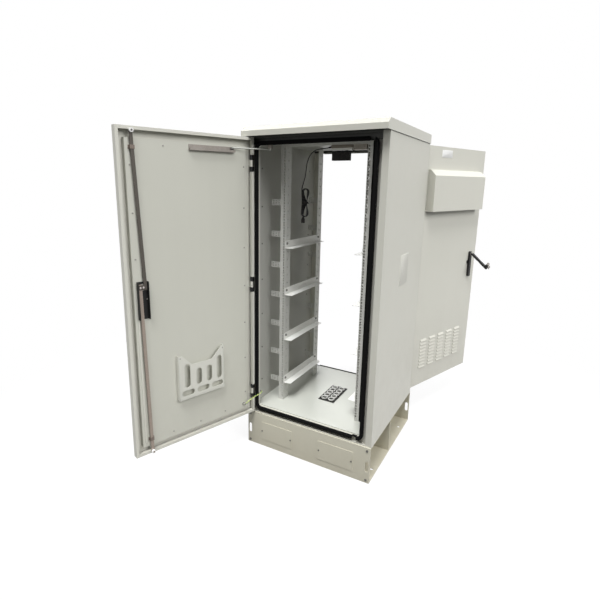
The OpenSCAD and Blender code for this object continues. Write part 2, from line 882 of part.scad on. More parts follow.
// pair of knuckles with arms to the side flange
module knuckle_pair() {
  for (s = [-1, 1]) {
    z = s * (knuckle_mid / 2 + knuckle_h / 2);
    translate([axis_x, axis_y, z]) difference() {
      union() {
        cylinder(d = knuckle_d, h = knuckle_h, center = true);
        translate([0.5 - knuckle_d / 2, 0, -knuckle_h / 2]) cube([knuckle_d - 1, yf - axis_y, knuckle_h]);
      }
      cylinder(d = hinge_pin_d + 2 * run, h = knuckle_h + 2 * eps, center = true);
    }
  }
}

module body_hinges() {
  color([0.07, 0.07, 0.07])
    for (z = hinge_heights) {
      translate([0, 0, z]) knuckle_pair();
      at_rear() translate([0, 0, z]) knuckle_pair();
    }
}

// folded door pan with a hollow rim, notches at the hinges, and hinge pins welded in
module door_pan() {
  difference() {
    union() {
      block([door_l, skin_y, door_z0], [door_x, skin_y + sheet, door_z1]);
      translate([door_mid, 0, 0]) {
        ring(skin_y, rim_y, door_hx, door_z0, door_z1, sheet);
        ring(rim_y - sheet, rim_y, door_hx, door_z0, door_z1, rim_w);
        ring(rim_y - rim_return, rim_y, door_hx - rim_w + sheet, door_z0 + rim_w - sheet,
          door_z1 - rim_w + sheet, sheet);
      }
    }
    for (z = hinge_heights)
      block([door_l - eps, skin_y + sheet + 3, z - notch_h / 2],
        [axis_x + knuckle_d / 2 + 2, rim_y + eps, z + notch_h / 2]);
    bar_y(lock_x, lock_z, skin_y - eps, skin_y + sheet + eps, spindle_d + 1);
    translate([door_l, rim_y, door_z0 - eps]) difference() {
      translate([-eps, -door_bend]) cube([door_bend + eps, door_bend + eps, body_h]);
      translate([door_bend, -door_bend]) cylinder(r = door_bend, h = body_h);
    }
  }
  for (z = hinge_heights)
    translate([axis_x, axis_y, z]) {
      cylinder(d = hinge_pin_d, h = knuckle_mid + 2 * knuckle_h + 4, center = true);
      cylinder(d = knuckle_d, h = knuckle_mid - 0.6, center = true);
      translate([-4, skin_y + sheet - 0.5 - axis_y, 0.3 - knuckle_mid / 2])
        cube([8, axis_y - skin_y - sheet + 0.5, knuckle_mid - 0.6]);
    }
}

module front_door_pan() {
  color([0.75, 0.75, 0.7]) on_front() door_pan();
}

// raised inner liner, folded down to the skin
module door_liner() {
  difference() {
    block([face_l, skin_y + sheet, face_z0], [face_x, face_y, face_z1]);
    block([face_l + sheet, skin_y, face_z0 + sheet], [face_x - sheet, face_y - sheet, face_z1 - sheet]);
    bar_y(lock_x, lock_z, skin_y - eps, face_y + eps, spindle_d + 1);
  }
}

module front_door_liner() {
  color([0.73, 0.73, 0.68]) on_front() {
    door_liner();
    bar_y(earth_x, earth_z, face_y, face_y + 12, 8);
  }
}

// channel-shaped lock case and the two rod guides
module lock_case() {
  top = lock_z + 25;
  difference() {
    block([lock_x - case_w / 2, face_y, top - case_l], [lock_x + case_w / 2, face_y + case_d, top]);
    block([lock_x - case_w / 2 + case_wall, face_y + case_base, top - case_l - eps],
      [lock_x + case_w / 2 - case_wall, face_y + case_d + eps, top + eps]);
    bar_y(lock_x, lock_z, face_y - eps, face_y + case_base + eps, spindle_d + 2 * run);
  }
  rod_guide(rod_line(rod_up_x, roller_x1, roller_z1, face_z1 - guide_in), face_z1 - guide_in);
  rod_guide(rod_line(rod_dn_x, roller_x0, roller_z0, face_z0 + guide_in), face_z0 + guide_in);
}

// place of a leaning rod's middle line at height z
function rod_line(xa, xb, zb, z) = xa + (xb - xa) * (z - lock_z) / (zb - lock_z);

module rod_guide(x, z) {
  half = rod_w / 2 + 0.8;
  y1 = rod_y + rod_t + 0.5;
  difference() {
    block([x - half - 6, face_y, z - guide_h / 2], [x + half + 6, y1 + 2, z + guide_h / 2]);
    block([x - half, face_y - eps, z - guide_h], [x + half, y1, z + guide_h]);
    for (s = [-1, 1])
      block([x + s * (half + 6) - 4, face_y + 3, z - guide_h], [x + s * (half + 6) + 4, y1 + 2 + eps, z + guide_h]);
  }
}

module front_lock_case() {
  color([0.08, 0.08, 0.08]) on_front() lock_case();
}

// outer base of the handle with an eye for a padlock
module handle_base() {
  top = lock_z + 18;
  difference() {
    union() {
      standing(handle_y, skin_y)
        soft_square(lock_x - handle_w / 2, lock_x + handle_w / 2, top - handle_l, top, handle_w / 2 - 0.01);
      standing(skin_y - 4, skin_y) soft_square(lock_x - handle_w / 2 - 14, lock_x, lock_z - 66, lock_z - 44, 8);
    }
    bar_y(lock_x, lock_z, handle_y - eps, skin_y + eps, spindle_d + 2 * run);
    bar_y(lock_x - handle_w / 2 - 6, lock_z - 55, skin_y - 4 - eps, skin_y + eps, 9);
  }
}

module front_handle_base() {
  color([0.07, 0.07, 0.07]) on_front() handle_base();
}

// spindle with its outer fork tongue, inner cam disc and the two drive pins
module lock_spindle() {
  head_y = handle_y - 0.3;
  difference() {
    union() {
      bar_y(lock_x, lock_z, head_y, cam_y, spindle_d);
      bar_y(lock_x, lock_z, head_y - head_t, head_y, handle_w - 2);
      bar_y(lock_x, lock_z, cam_y, cam_y + cam_t, cam_d);
      for (s = [-1, 1])
        bar_y(lock_x + s * pin_off, lock_z + s * pin_off, cam_y, rod_y + rod_t + 0.5, pin_d);
      block([lock_x - tongue_w / 2, pivot_y, lock_z - lever_t / 2],
        [lock_x + tongue_w / 2, head_y - head_t, lock_z + lever_t / 2]);
      bar_x(pivot_y, lock_z, lock_x - tongue_w / 2, lock_x + tongue_w / 2, lever_t);
    }
    bar_x(pivot_y, lock_z, lock_x - tongue_w, lock_x + tongue_w, pin_d + 2 * run);
  }
}

module front_lock_spindle() {
  color([0.3, 0.3, 0.3]) on_front() lock_spindle();
}

// lever with a forked root, a waisted grip and a lock boss near its end, lifted off its base
module lever() {
  cheek = (handle_w - 2 - tongue_w) / 2 - 0.3;
  translate([lock_x, pivot_y, lock_z]) rotate([-lever_lift, 0, 0]) {
    for (s = [-1, 1]) {
      x0 = s > 0 ? tongue_w / 2 + 0.3 : -tongue_w / 2 - 0.3 - cheek;
      bar_x(0, 0, x0, x0 + cheek, lever_t);
      block([x0, -lever_t / 2, -16], [x0 + cheek, lever_t / 2, 0]);
    }
    bar_x(0, 0, 1 - handle_w / 2, handle_w / 2 - 1, pin_d);
    difference() {
      standing(-lever_t / 2, lever_t / 2)
        soft_square(1 - handle_w / 2, handle_w / 2 - 1, -lever_l, -13, 6);
      for (s = [-1, 1])
        translate([s * (handle_w / 2 + 38), 0, -lever_l * 0.5]) rotate([90, 0, 0])
          cylinder(r = 42, h = 2 * lever_t, center = true, $fn = 64);
    }
    translate([0, -lever_t / 2, 16 - lever_l]) rotate([90, 0, 0]) cylinder(d = 13, h = 4);
  }
}

module front_lever() {
  color([0.07, 0.07, 0.07]) on_front() lever();
}

// flat leaning lock rod: a fork over the cam pin at one end, a roller axle at the other
module lock_rod(xa, xb, s, z_end) {
  z_pin = lock_z - s * pin_off;
  z_back = z_pin - s * (pin_d / 2 + 6);
  z_tip = z_end + s * tip;
  x_back = rod_line(xa, xb, z_end, z_back);
  x_tip = rod_line(xa, xb, z_end, z_tip);
  h = rod_w / 2;
  slot = pin_d + 2 * fork_gap;
  reach = pin_circle + pin_d / 2 + 1.5;
  difference() {
    standing(rod_y, rod_y + rod_t)
      polygon([[x_back - h, z_back], [x_back + h, z_back], [x_tip + h, z_tip], [x_tip - h, z_tip]]);
    block([s > 0 ? lock_x - reach : lock_x, rod_y - eps, z_pin - slot / 2],
      [s > 0 ? lock_x : lock_x + reach, rod_y + rod_t + eps, z_pin + slot / 2]);
  }
  bar_y(xb, z_end, rod_y + rod_t, roller_y + roller_w + 0.5, axle_d);
  bar_y(xb, z_end, roller_y + roller_w + 0.5, roller_y + roller_w + 1.5, axle_d + 3);
}

module front_rod_upper() {
  color([0.46, 0.41, 0.37]) on_front() lock_rod(rod_up_x, roller_x1, 1, roller_z1);
}

module front_rod_lower() {
  color([0.46, 0.41, 0.37]) on_front() lock_rod(rod_dn_x, roller_x0, -1, roller_z0);
}

module roller(x, z) {
  difference() {
    bar_y(x, z, roller_y, roller_y + roller_w, roller_d);
    bar_y(x, z, roller_y - eps, roller_y + roller_w + eps, axle_d + 2 * run);
  }
}

module front_roller_top() {
  color([0.95, 0.95, 0.95]) on_front() roller(roller_x1, roller_z1);
}

module front_roller_bottom() {
  color([0.95, 0.95, 0.95]) on_front() roller(roller_x0, roller_z0);
}

// tray for papers with a dipped top edge and slots in its front
module document_pocket() {
  x0 = -pocket_w / 2;
  x1 = pocket_w / 2;
  pz = z0 + pocket_up;
  zt = pz + pocket_h;
  dip = 56;
  front = face_y + pocket_d;
  color([0.68, 0.68, 0.63]) on_front() difference() {
    block([x0, face_y, pz], [x1, front, zt]);
    block([x0 + sheet, face_y - eps, pz + sheet], [x1 - sheet, front - sheet, zt + eps]);
    standing(face_y + sheet, front + eps)
      polygon([[x0 + pocket_w * 0.07, zt + eps], [x0 + pocket_w * 0.28, zt - dip],
        [x0 + pocket_w * 0.72, zt - dip], [x0 + pocket_w * 0.93, zt + eps]]);
    for (k = [[0.06, 0.8], [0.29, 0.64], [0.52, 0.64], [0.77, 0.8]])
      standing(front - sheet - eps, front + eps)
        soft_square(x0 + pocket_w * k[0], x0 + pocket_w * (k[0] + 0.11), pz + pocket_h * 0.28,
          pz + pocket_h * k[1], 6);
    for (k = [0.03, 0.35, 0.68])
      standing(front - sheet - eps, front + eps)
        soft_square(x0 + pocket_w * k, x0 + pocket_w * (k + 0.27), pz + pocket_h * 0.1,
          pz + pocket_h * 0.2, 6);
  }
}

// channel that guides the door stay's slider
module stay_channel() {
  color([0.5, 0.46, 0.42]) on_front() translate([stay_ch_x, face_y, stay_ch_z]) {
    cube([stay_l, 2, stay_h]);
    cube([stay_l, stay_d, 2]);
    translate([0, stay_d - 2, 0]) cube([stay_l, 2, 12]);
  }
}

module stay_slider() {
  color([0.09, 0.09, 0.09]) on_front() {
    block([stay_end_x - 9, face_y + 2.3, stay_ch_z + 2.3],
      [stay_end_x + 9, face_y + stay_d - 2.3, stay_top_z - 4]);
    translate([stay_end_x, stay_end_y, stay_top_z - 4]) cylinder(d = stay_rod_d, h = 4 - 0.3);
  }
}

// bracket behind the frame with the pivot pin of the stay
module stay_bracket() {
  color([0.4, 0.38, 0.36]) {
    block([stay_px - 10, back_y, stay_z + stay_rod_d / 2 + 0.4], [stay_px + 10, back_y + 16, ceil_z]);
    translate([stay_px, stay_py, stay_z - stay_rod_d / 2 - 2])
      cylinder(d = 6, h = stay_rod_d + 4);
  }
}

// stay rod with an eye at each end
module stay_rod() {
  color([0.6, 0.58, 0.55]) translate([stay_px, stay_py, stay_z]) rotate([0, 0, stay_ang]) {
    difference() {
      cylinder(d = stay_eye_d, h = stay_rod_d, center = true);
      cylinder(d = 6 + 2 * run, h = stay_rod_d + 2 * eps, center = true);
    }
    bar_x(0, 0, stay_eye_d / 2 - 2, stay_len - stay_eye_d / 2 + 2, stay_rod_d - 0.5);
    translate([stay_len, 0, 0]) cylinder(d = stay_eye_d, h = stay_rod_d, center = true);
  }
}

// one pressed louvre, open at its lower edge
module louvre() {
  along_x(-louvre_w / 2, louvre_w / 2)
    polygon([[0.5, 9], [0, 9.6], [-louvre_d, -4], [sheet * 0.8 - louvre_d, -4], [0.5, 6]]);
  for (x = [-louvre_w / 2, louvre_w / 2 - sheet])
    along_x(x, x + sheet) polygon([[0.5, 8], [-louvre_d + 1, -4], [0.5, -4]]);
}

module louvre_grid() {
  for (i = [-2 : 2], k = [0 : 8])
    translate([i * louvre_px, skin_y, z0 + louvre_up + k * louvre_pz]) children();
}

// rear door pan, slit behind the louvres and open behind the hood
module rear_door_pan() {
  color([0.79, 0.78, 0.73]) on_rear() {
    difference() {
      door_pan();
      louvre_grid() block([sheet - louvre_w / 2, -eps, -3.5], [louvre_w / 2 - sheet, sheet + eps, 4]);
      block([20 - vent_x, skin_y - eps, vent_z0 + 15], [vent_x - 20, skin_y + sheet + eps, vent_z1 - 15]);
    }
    louvre_grid() louvre();
  }
}

// rear door liner with windows for the screen and the filter
module rear_door_liner() {
  color([0.73, 0.73, 0.68]) on_rear() difference() {
    door_liner();
    block([12 - vent_x, skin_y, vent_z0 + 12], [vent_x - 12, face_y + eps, vent_z1 - 12]);
    block([12 - filter_x, skin_y, filter_z0 + 12], [filter_x - 12, face_y + eps, filter_z1 - 12]);
  }
}

module rear_lock_case() {
  color([0.08, 0.08, 0.08]) on_rear() lock_case();
}

module rear_handle_base() {
  color([0.07, 0.07, 0.07]) on_rear() handle_base();
}

module rear_lock_spindle() {
  color([0.3, 0.3, 0.3]) on_rear() lock_spindle();
}

module rear_lever() {
  color([0.07, 0.07, 0.07]) on_rear() lever();
}

module rear_rod_upper() {
  color([0.46, 0.41, 0.37]) on_rear() lock_rod(rod_up_x, roller_x1, 1, roller_z1);
}

module rear_rod_lower() {
  color([0.46, 0.41, 0.37]) on_rear() lock_rod(rod_dn_x, roller_x0, -1, roller_z0);
}

module rear_roller_top() {
  color([0.95, 0.95, 0.95]) on_rear() roller(roller_x1, roller_z1);
}

module rear_roller_bottom() {
  color([0.95, 0.95, 0.95]) on_rear() roller(roller_x0, roller_z0);
}

// weather hood over the upper vent, open at the bottom
module vent_hood() {
  zb = hood_z;
  zt = zb + hood_h;
  y1 = skin_y - hood_d;
  flat = 14;
  fall = 34;
  color([0.8, 0.79, 0.74]) on_rear() difference() {
    along_x(-hood_w / 2, hood_w / 2)
      polygon([[skin_y, zb], [y1, zb], [y1, zt - fall], [skin_y - flat, zt], [skin_y, zt]]);
    along_x(sheet - hood_w / 2, hood_w / 2 - sheet)
      polygon([[skin_y + eps, zb - eps], [y1 + sheet, zb - eps], [y1 + sheet, zt - fall - 1],
        [skin_y - flat + 0.6, zt - sheet], [skin_y + eps, zt - sheet]]);
  }
}

// slotted screen on the liner behind the hood
module vent_screen() {
  color([0.6, 0.6, 0.57]) on_rear() difference() {
    block([-vent_x, face_y, vent_z0], [vent_x, face_y + sheet, vent_z1]);
    for (i = [0 : 12], k = [0 : 3])
      block([(i - 6.4) * slot_px, face_y - eps, vent_z0 + 18 + k * 22],
        [(i - 5.6) * slot_px, face_y + sheet + eps, vent_z0 + 26 + k * 22]);
  }
}

module air_filter() {
  color([0.35, 0.36, 0.35]) on_rear()
    block([-filter_x, face_y, filter_z0], [filter_x, face_y + filter_t, filter_z1]);
}

plinth_front();
plinth_rear();
plinth_sides();
access_covers();
plinth_bolts();
side_panel_left();
side_panel_right();
front_frame();
rear_frame();
door_seals();
wall_liners();
top_panel();
roof_cap();
floor_tray();
gland_plate();
cable_entries();
front_rails();
rear_rails();
cable_lugs();
shelf_angles();
lamp_bar();
lamp_housing();
lamp_diffuser();
lamp_driver();
socket_box();
lamp_lead();
lead_hank();
earth_wire();
body_hinges();
stay_bracket();
stay_rod();
front_door_pan();
front_door_liner();
front_lock_case();
front_handle_base();
front_lock_spindle();
front_lever();
front_rod_upper();
front_rod_lower();
front_roller_top();
front_roller_bottom();
document_pocket();
stay_channel();
stay_slider();
rear_door_pan();
rear_door_liner();
rear_lock_case();
rear_handle_base();
rear_lock_spindle();
rear_lever();
rear_rod_upper();
rear_rod_lower();
rear_roller_top();
rear_roller_bottom();
vent_hood();
vent_screen();
air_filter();
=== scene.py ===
import bmesh
import bpy
import math
from mathutils import Matrix, Vector


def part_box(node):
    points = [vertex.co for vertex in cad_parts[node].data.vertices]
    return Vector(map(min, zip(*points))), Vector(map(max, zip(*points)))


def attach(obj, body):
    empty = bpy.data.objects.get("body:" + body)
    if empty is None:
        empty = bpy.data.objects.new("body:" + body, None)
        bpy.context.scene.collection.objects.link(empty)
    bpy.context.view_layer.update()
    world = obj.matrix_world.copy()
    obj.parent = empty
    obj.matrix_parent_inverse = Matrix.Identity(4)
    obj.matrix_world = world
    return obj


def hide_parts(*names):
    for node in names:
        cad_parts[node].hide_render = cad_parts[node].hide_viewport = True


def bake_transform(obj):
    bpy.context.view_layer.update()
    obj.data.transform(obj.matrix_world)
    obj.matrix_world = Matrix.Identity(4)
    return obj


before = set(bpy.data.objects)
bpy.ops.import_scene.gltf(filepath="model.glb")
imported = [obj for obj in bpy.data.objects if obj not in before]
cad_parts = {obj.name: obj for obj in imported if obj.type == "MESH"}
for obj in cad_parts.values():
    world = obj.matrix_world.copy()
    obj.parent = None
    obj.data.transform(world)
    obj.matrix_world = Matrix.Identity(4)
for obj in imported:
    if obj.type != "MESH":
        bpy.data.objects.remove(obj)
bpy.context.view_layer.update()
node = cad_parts

# The camera stands about two and a half metres off the cabinet's right front corner, a little
# below its roof, and looks slightly down.
scene = bpy.context.scene
scene.view_settings.view_transform = "Standard"
picture = 600
focal = 438.28
middle = (281.05, 282.71)
cam_place = (0.9895, -2.2986, 1.4965)
cam_turn, cam_tilt, cam_roll = -0.538, -0.221, 0.011
cam_data = bpy.data.cameras.new("camera")
cam_data.sensor_width = 36.0
cam_data.lens = focal / picture * cam_data.sensor_width
cam_data.shift_x = (picture / 2 - middle[0]) / picture
cam_data.shift_y = -(picture / 2 - middle[1]) / picture
cam_data.clip_end = 60
camera = bpy.data.objects.new("camera", cam_data)
scene.collection.objects.link(camera)
ahead = Vector((math.sin(cam_turn) * math.cos(cam_tilt), math.cos(cam_turn) * math.cos(cam_tilt),
                math.sin(cam_tilt)))
level = ahead.cross(Vector((0, 0, 1))).normalized()
upright = level.cross(ahead)
across = level * math.cos(cam_roll) + upright * math.sin(cam_roll)
upward = upright * math.cos(cam_roll) - level * math.sin(cam_roll)
camera.matrix_world = Matrix((
    (across.x, upward.x, -ahead.x, cam_place[0]),
    (across.y, upward.y, -ahead.y, cam_place[1]),
    (across.z, upward.z, -ahead.z, cam_place[2]),
    (0, 0, 0, 1)))
scene.camera = camera


# The room is plain and white: a dome that is brighter overhead, a pale floor that runs out
# into it, and three wide soft lights above, at the right and behind, as in a studio.
class Tone:
    """A shader socket that takes part in Python sums."""

    def __init__(self, tree, socket):
        self.tree = tree
        self.socket = socket

    def node(self, kind, settings=None, **inputs):
        made = self.tree.nodes.new(kind)
        for key, value in (settings or {}).items():
            if key == "stops":
                ramp = made.color_ramp
                while len(ramp.elements) < len(value):
                    ramp.elements.new(0.5)
                for stop, (place, colour) in zip(ramp.elements, value):
                    stop.position = place
                    stop.color = (*colour, 1)
            else:
                setattr(made, key, value)
        for key, value in inputs.items():
            place = int(key[1:]) if key[0] == "i" and key[1:].isdigit() else key.replace("_", " ")
            socket = made.inputs[place]
            if isinstance(value, Tone):
                self.tree.links.new(value.socket, socket)
            else:
                socket.default_value = value
        return made

    def out(self, made, name=0):
        return Tone(self.tree, made.outputs[name])

    def sum_node(self, operation, a, b):
        return self.out(self.node("ShaderNodeMath", {"operation": operation}, i0=a, i1=b))

    def __add__(self, other):
        return self.sum_node("ADD", self, other)

    def __radd__(self, other):
        return self.sum_node("ADD", other, self)

    def __sub__(self, other):
        return self.sum_node("SUBTRACT", self, other)

    def __rsub__(self, other):
        return self.sum_node("SUBTRACT", other, self)

    def __mul__(self, other):
        return self.sum_node("MULTIPLY", self, other)

    def __rmul__(self, other):
        return self.sum_node("MULTIPLY", other, self)

    def noise(self, scale, detail, rough=0.5):
        return self.out(self.node("ShaderNodeTexNoise", Vector=self, Scale=scale, Detail=detail,
                                  Roughness=rough))

    def height(self):
        return self.out(self.node("ShaderNodeSeparateXYZ", Vector=self), "Z")

    def spread(self, low, high, at_low, at_high):
        return self.out(self.node("ShaderNodeMapRange", i0=self, i1=low, i2=high, i3=at_low, i4=at_high))

    def between(self, first, last):
        first, last = (c if isinstance(c, Tone) else (*c, 1) for c in (first, last))
        return self.out(self.node("ShaderNodeMix", {"data_type": "RGBA"}, i0=self, i6=first, i7=last), 2)

    def ramp(self, *stops):
        return self.out(self.node("ShaderNodeValToRGB", {"stops": stops}, Fac=self))

    def feed(self, shader, socket):
        self.tree.links.new(self.socket, shader.inputs[socket])

    def emboss(self, shader, strength, depth):
        bump = self.node("ShaderNodeBump", Strength=strength, Distance=depth, Height=self)
        self.out(bump).feed(shader, "Normal")


def finish_of(name):
    made = bpy.data.materials.new(name)
    made.use_nodes = True
    tree = made.node_tree
    shader = tree.nodes["Principled BSDF"]
    start = tree.nodes.new("ShaderNodeTexCoord")
    return made, shader, Tone(tree, start.outputs["Object"])


def seen_rays(start):
    rays = start.node("ShaderNodeLightPath")
    seen = start.sum_node("MAXIMUM", start.out(rays, "Is Camera Ray"), start.out(rays, "Is Glossy Ray"))
    return start.sum_node("MAXIMUM", seen, start.out(rays, "Is Transmission Ray"))


sky_level, sky_low = 0.43, 0.02
world = bpy.data.worlds.new("surround")
scene.world = world
world.use_nodes = True
sky = world.node_tree
sky_out = sky.nodes["Background"]
sky_out.inputs["Color"].default_value = (1, 1, 1, 1)
way = Tone(sky, sky.nodes.new("ShaderNodeTexCoord").outputs["Generated"])
shown = seen_rays(way)
dome = way.height().spread(0.0, 1.0, sky_low, sky_level)
(shown + (1 - shown) * dome).feed(sky_out, "Strength")

floor_near, floor_far = 0.7, 2.4
bpy.ops.object.select_all(action="DESELECT")
bpy.ops.mesh.primitive_plane_add(size=40)
floor = bpy.context.active_object
floor.name = "floor"
floor_paint, floor_shader, f = finish_of("floor_white")
seen = seen_rays(f)
seen.between((0.12, 0.12, 0.115), (0.9, 0.9, 0.9)).feed(floor_shader, "Base Color")
floor_shader.inputs["Roughness"].default_value = 1.0
floor_shader.inputs["Specular IOR Level"].default_value = 0.0
reach = f.out(f.node("ShaderNodeVectorMath", {"operation": "LENGTH"}, i0=f), "Value")
far = reach.spread(floor_near, floor_far, 0.82, 1.0)
glow = f.node("ShaderNodeEmission", Color=(1, 1, 1, 1), Strength=1.0)
floor_mix = f.node("ShaderNodeMixShader", i0=seen * far)
f.tree.links.new(floor_shader.outputs[0], floor_mix.inputs[1])
f.tree.links.new(glow.outputs[0], floor_mix.inputs[2])
f.tree.links.new(floor_mix.outputs[0], f.tree.nodes["Material Output"].inputs["Surface"])
floor.data.materials.append(floor_paint)

for name, way_up, power, soft in (
        ("ceiling_light", (0.05, -0.42, 0.9), 3.4, 30),
        ("side_light", (0.84, -0.12, 0.53), 2.1, 36),
        ("back_light", (-0.62, 0.62, 0.48), 1.8, 40)):
    light_data = bpy.data.lights.new(name, "SUN")
    light_data.energy = power
    light_data.angle = math.radians(soft)
    light = bpy.data.objects.new(name, light_data)
    light.rotation_euler = Vector(way_up).to_track_quat("Z", "Y").to_euler()
    light.location = Vector(way_up) * 4
    scene.collection.objects.link(light)


# The plinth is folded from thick sheet steel with screwed access covers, bolted together at
# the corners and powder coated in a grey that is a little darker and dirtier than the body.
def dress(material, *names):
    for name in names:
        slots = node[name].data.materials
        slots.clear()
        slots.append(material)


def powder_coat(name, colour, dirt, dirt_low, dirt_high, dirt_share, shine=0.4):
    made, shader, s = finish_of(name)
    cloud = s.noise(2.6, 5.0, 0.6)
    long_way = s.out(s.node("ShaderNodeMapping", Vector=s, Scale=(16.0, 16.0, 0.9)))
    streak = long_way.noise(1.0, 4.0, 0.6)
    pebble = s.noise(620.0, 2.0)
    smudge = s.noise(11.0, 6.0, 0.7)
    low = s.height().spread(dirt_low, dirt_high, 1.0, 0.0)
    shade = (cloud * 0.6 + streak * 0.4).between([c * 0.95 for c in colour],
                                                 [min(1, c * 1.045) for c in colour])
    soil = s.out(s.node("ShaderNodeMath", {"operation": "MULTIPLY", "use_clamp": True},
                        i0=low * smudge * dirt_share, i1=1.0))
    soil.between(shade, dirt).feed(shader, "Base Color")
    (smudge * 0.14 + streak * 0.08 + 0.3).feed(shader, "Roughness")
    pebble.emboss(shader, 0.12, 0.0006)
    shader.inputs["Specular IOR Level"].default_value = shine
    return made


plinth_coat = powder_coat("plinth_powder_coat", (0.57, 0.55, 0.455), (0.34, 0.3, 0.22), 0.0, 0.2, 0.6)
dress(plinth_coat, "plinth_front", "plinth_rear", "plinth_sides", "access_covers")


# The plinth's bolts are steel that the weather has turned dark. Lock spindles and most of the
# loose screws are turned from steel and plated with brighter zinc.
def plated(name, colour, dark, metal, rough, flake_size):
    made, shader, s = finish_of(name)
    flake = s.out(s.node("ShaderNodeTexVoronoi", Vector=s, Scale=flake_size), "Color")
    flake = s.out(s.node("ShaderNodeSeparateColor", Color=flake), 0)
    cloud = s.noise(24.0, 5.0, 0.65)
    (flake * 0.35 + cloud * 0.65).between(dark, colour).feed(shader, "Base Color")
    (cloud * 0.22 + rough).feed(shader, "Roughness")
    shader.inputs["Metallic"].default_value = metal
    cloud.emboss(shader, 0.05, 0.0005)
    return made


bolt_dark = plated("bolt_dark", (0.2, 0.195, 0.18), (0.09, 0.09, 0.08), 0.6, 0.34, 300.0)
dress(bolt_dark, "plinth_bolts")
bolt_zinc = plated("bolt_zinc", (0.44, 0.43, 0.4), (0.2, 0.2, 0.18), 0.7, 0.3, 300.0)
dress(bolt_zinc, "front_lock_spindle", "rear_lock_spindle")

# The body is a double-walled shell of folded sheet steel with a loose roof cap and two doors,
# all in one warm light grey powder coat, faintly pebbled, with soft dirt near the foot.
body_grey, body_dirt = (0.60, 0.595, 0.535), (0.36, 0.34, 0.29)
dirt_foot, dirt_top = 0.2, 0.75
body_coat = powder_coat("body_powder_coat", body_grey, body_dirt, dirt_foot, dirt_top, 0.5)
dress(body_coat, "side_panel_left", "side_panel_right", "front_door_pan", "rear_door_pan", "vent_hood")
# Painted shade: the door liners get a darker copy of the body's coat.
liner_shade_coat = powder_coat("door_liner_painted_shade", (0.535, 0.535, 0.475), body_dirt, dirt_foot, dirt_top, 0.4)
dress(liner_shade_coat, "front_door_liner", "rear_door_liner")


# Painted shade: the underside of the roof overhang and the headers of both door frames, above
# the openings, are painted near-black where the roof shades them; the outside of the roof has the body's coat.
def painted_shade_lined(name, lined):
    made = powder_coat(name, body_grey, body_dirt, dirt_foot, dirt_top, 0.5)
    tree = made.node_tree
    shader = tree.nodes["Principled BSDF"]
    s = Tone(tree, tree.nodes.new("ShaderNodeTexCoord").outputs["Object"])
    paint = Tone(tree, shader.inputs["Base Color"].links[0].from_socket)
    # Painted shade: a near-black with a faint mottle, for the shade under the overhang.
    overhang_shade_tone = s.noise(240.0, 3.0).between((0.012, 0.013, 0.01), (0.04, 0.042, 0.034))
    lined(s).between(paint, overhang_shade_tone).feed(shader, "Base Color")
    return made


def faces_down(s):
    facing = s.out(s.node("ShaderNodeNewGeometry"), "Normal").height()
    return s.sum_node("LESS_THAN", facing, -0.5)


def above_opening(s):
    opening_top = 1.6935
    return s.sum_node("GREATER_THAN", s.height(), opening_top)


# Painted shade under the roof and on the frame headers above the openings.
dress(painted_shade_lined("roof_coat_shaded_underside", faces_down), "roof_cap")
dress(painted_shade_lined("frame_coat_shaded_header", above_opening), "front_frame", "rear_frame")

# The floor tray is coated lighter than the body. The inner walls and the ceiling are painted in a
# darker, dull copy of the body's grey: painted shade for the dim inside of the cabinet.
tray_coat = powder_coat("tray_powder_coat", (0.56, 0.575, 0.53), (0.45, 0.43, 0.38), 0.23, 0.26, 0.2)
dress(tray_coat, "floor_tray")
# Painted shade: a darker copy of the body's grey for the inner walls and the ceiling.
interior_shade_coat = powder_coat("inner_walls_painted_shade", (0.455, 0.455, 0.42), (0.32, 0.31, 0.28), 0.24, 0.6, 0.3, 0.15)
dress(interior_shade_coat, "wall_liners", "top_panel")


# A blank plate is riveted to the right side: thin sheet in the body's coat, with round
# corners, a raised face and a rivet in each corner.
def clear_selection():
    if bpy.context.mode != "OBJECT":
        bpy.ops.object.mode_set(mode="OBJECT")
    bpy.ops.object.select_all(action="DESELECT")


def opened(name):
    piece = bpy.context.active_object
    piece.name = piece.data.name = name
    bpy.ops.object.transform_apply(location=True, rotation=True, scale=True)
    bpy.ops.object.mode_set(mode="EDIT")
    return piece


def open_block(name, low, high):
    clear_selection()
    bpy.ops.mesh.primitive_cube_add(size=1, location=[(a + b) / 2000 for a, b in zip(low, high)],
                                    scale=[(b - a) / 1000 for a, b in zip(low, high)])
    return opened(name)


def open_round(name, sides, radius, depth, place, turn=(0, 0, 0), ends="NGON"):
    clear_selection()
    bpy.ops.mesh.primitive_cylinder_add(vertices=sides, radius=radius, depth=depth, location=place,
                                        rotation=turn, end_fill_type=ends)
    return opened(name)


def pick_faces(piece, test):
    bpy.ops.mesh.select_all(action="DESELECT")
    bpy.ops.mesh.select_mode(type="FACE")
    shape = bmesh.from_edit_mesh(piece.data)
    for face in shape.faces:
        face.select_set(bool(test(face.calc_center_median() * 1000, face.normal)))
    bmesh.update_edit_mesh(piece.data)


def pick_edges(piece, test):
    bpy.ops.mesh.select_all(action="DESELECT")
    bpy.ops.mesh.select_mode(type="EDGE")
    shape = bmesh.from_edit_mesh(piece.data)
    for edge in shape.edges:
        a, b = (v.co for v in edge.verts)
        edge.select_set(bool(test((a + b) * 500, (b - a).normalized())))
    bmesh.update_edit_mesh(piece.data)


smooth_angle = math.radians(32)


def close_piece(piece, material, body, turn=None):
    if turn is not None:
        bpy.ops.object.mode_set(mode="OBJECT")
        piece.data.transform(turn)
        bpy.ops.object.mode_set(mode="EDIT")
    bpy.ops.mesh.select_all(action="SELECT")
    bpy.ops.mesh.normals_make_consistent(inside=False)
    bpy.ops.object.mode_set(mode="OBJECT")
    bpy.ops.object.shade_smooth_by_angle(angle=smooth_angle)
    piece.data.materials.append(material)
    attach(piece, body)


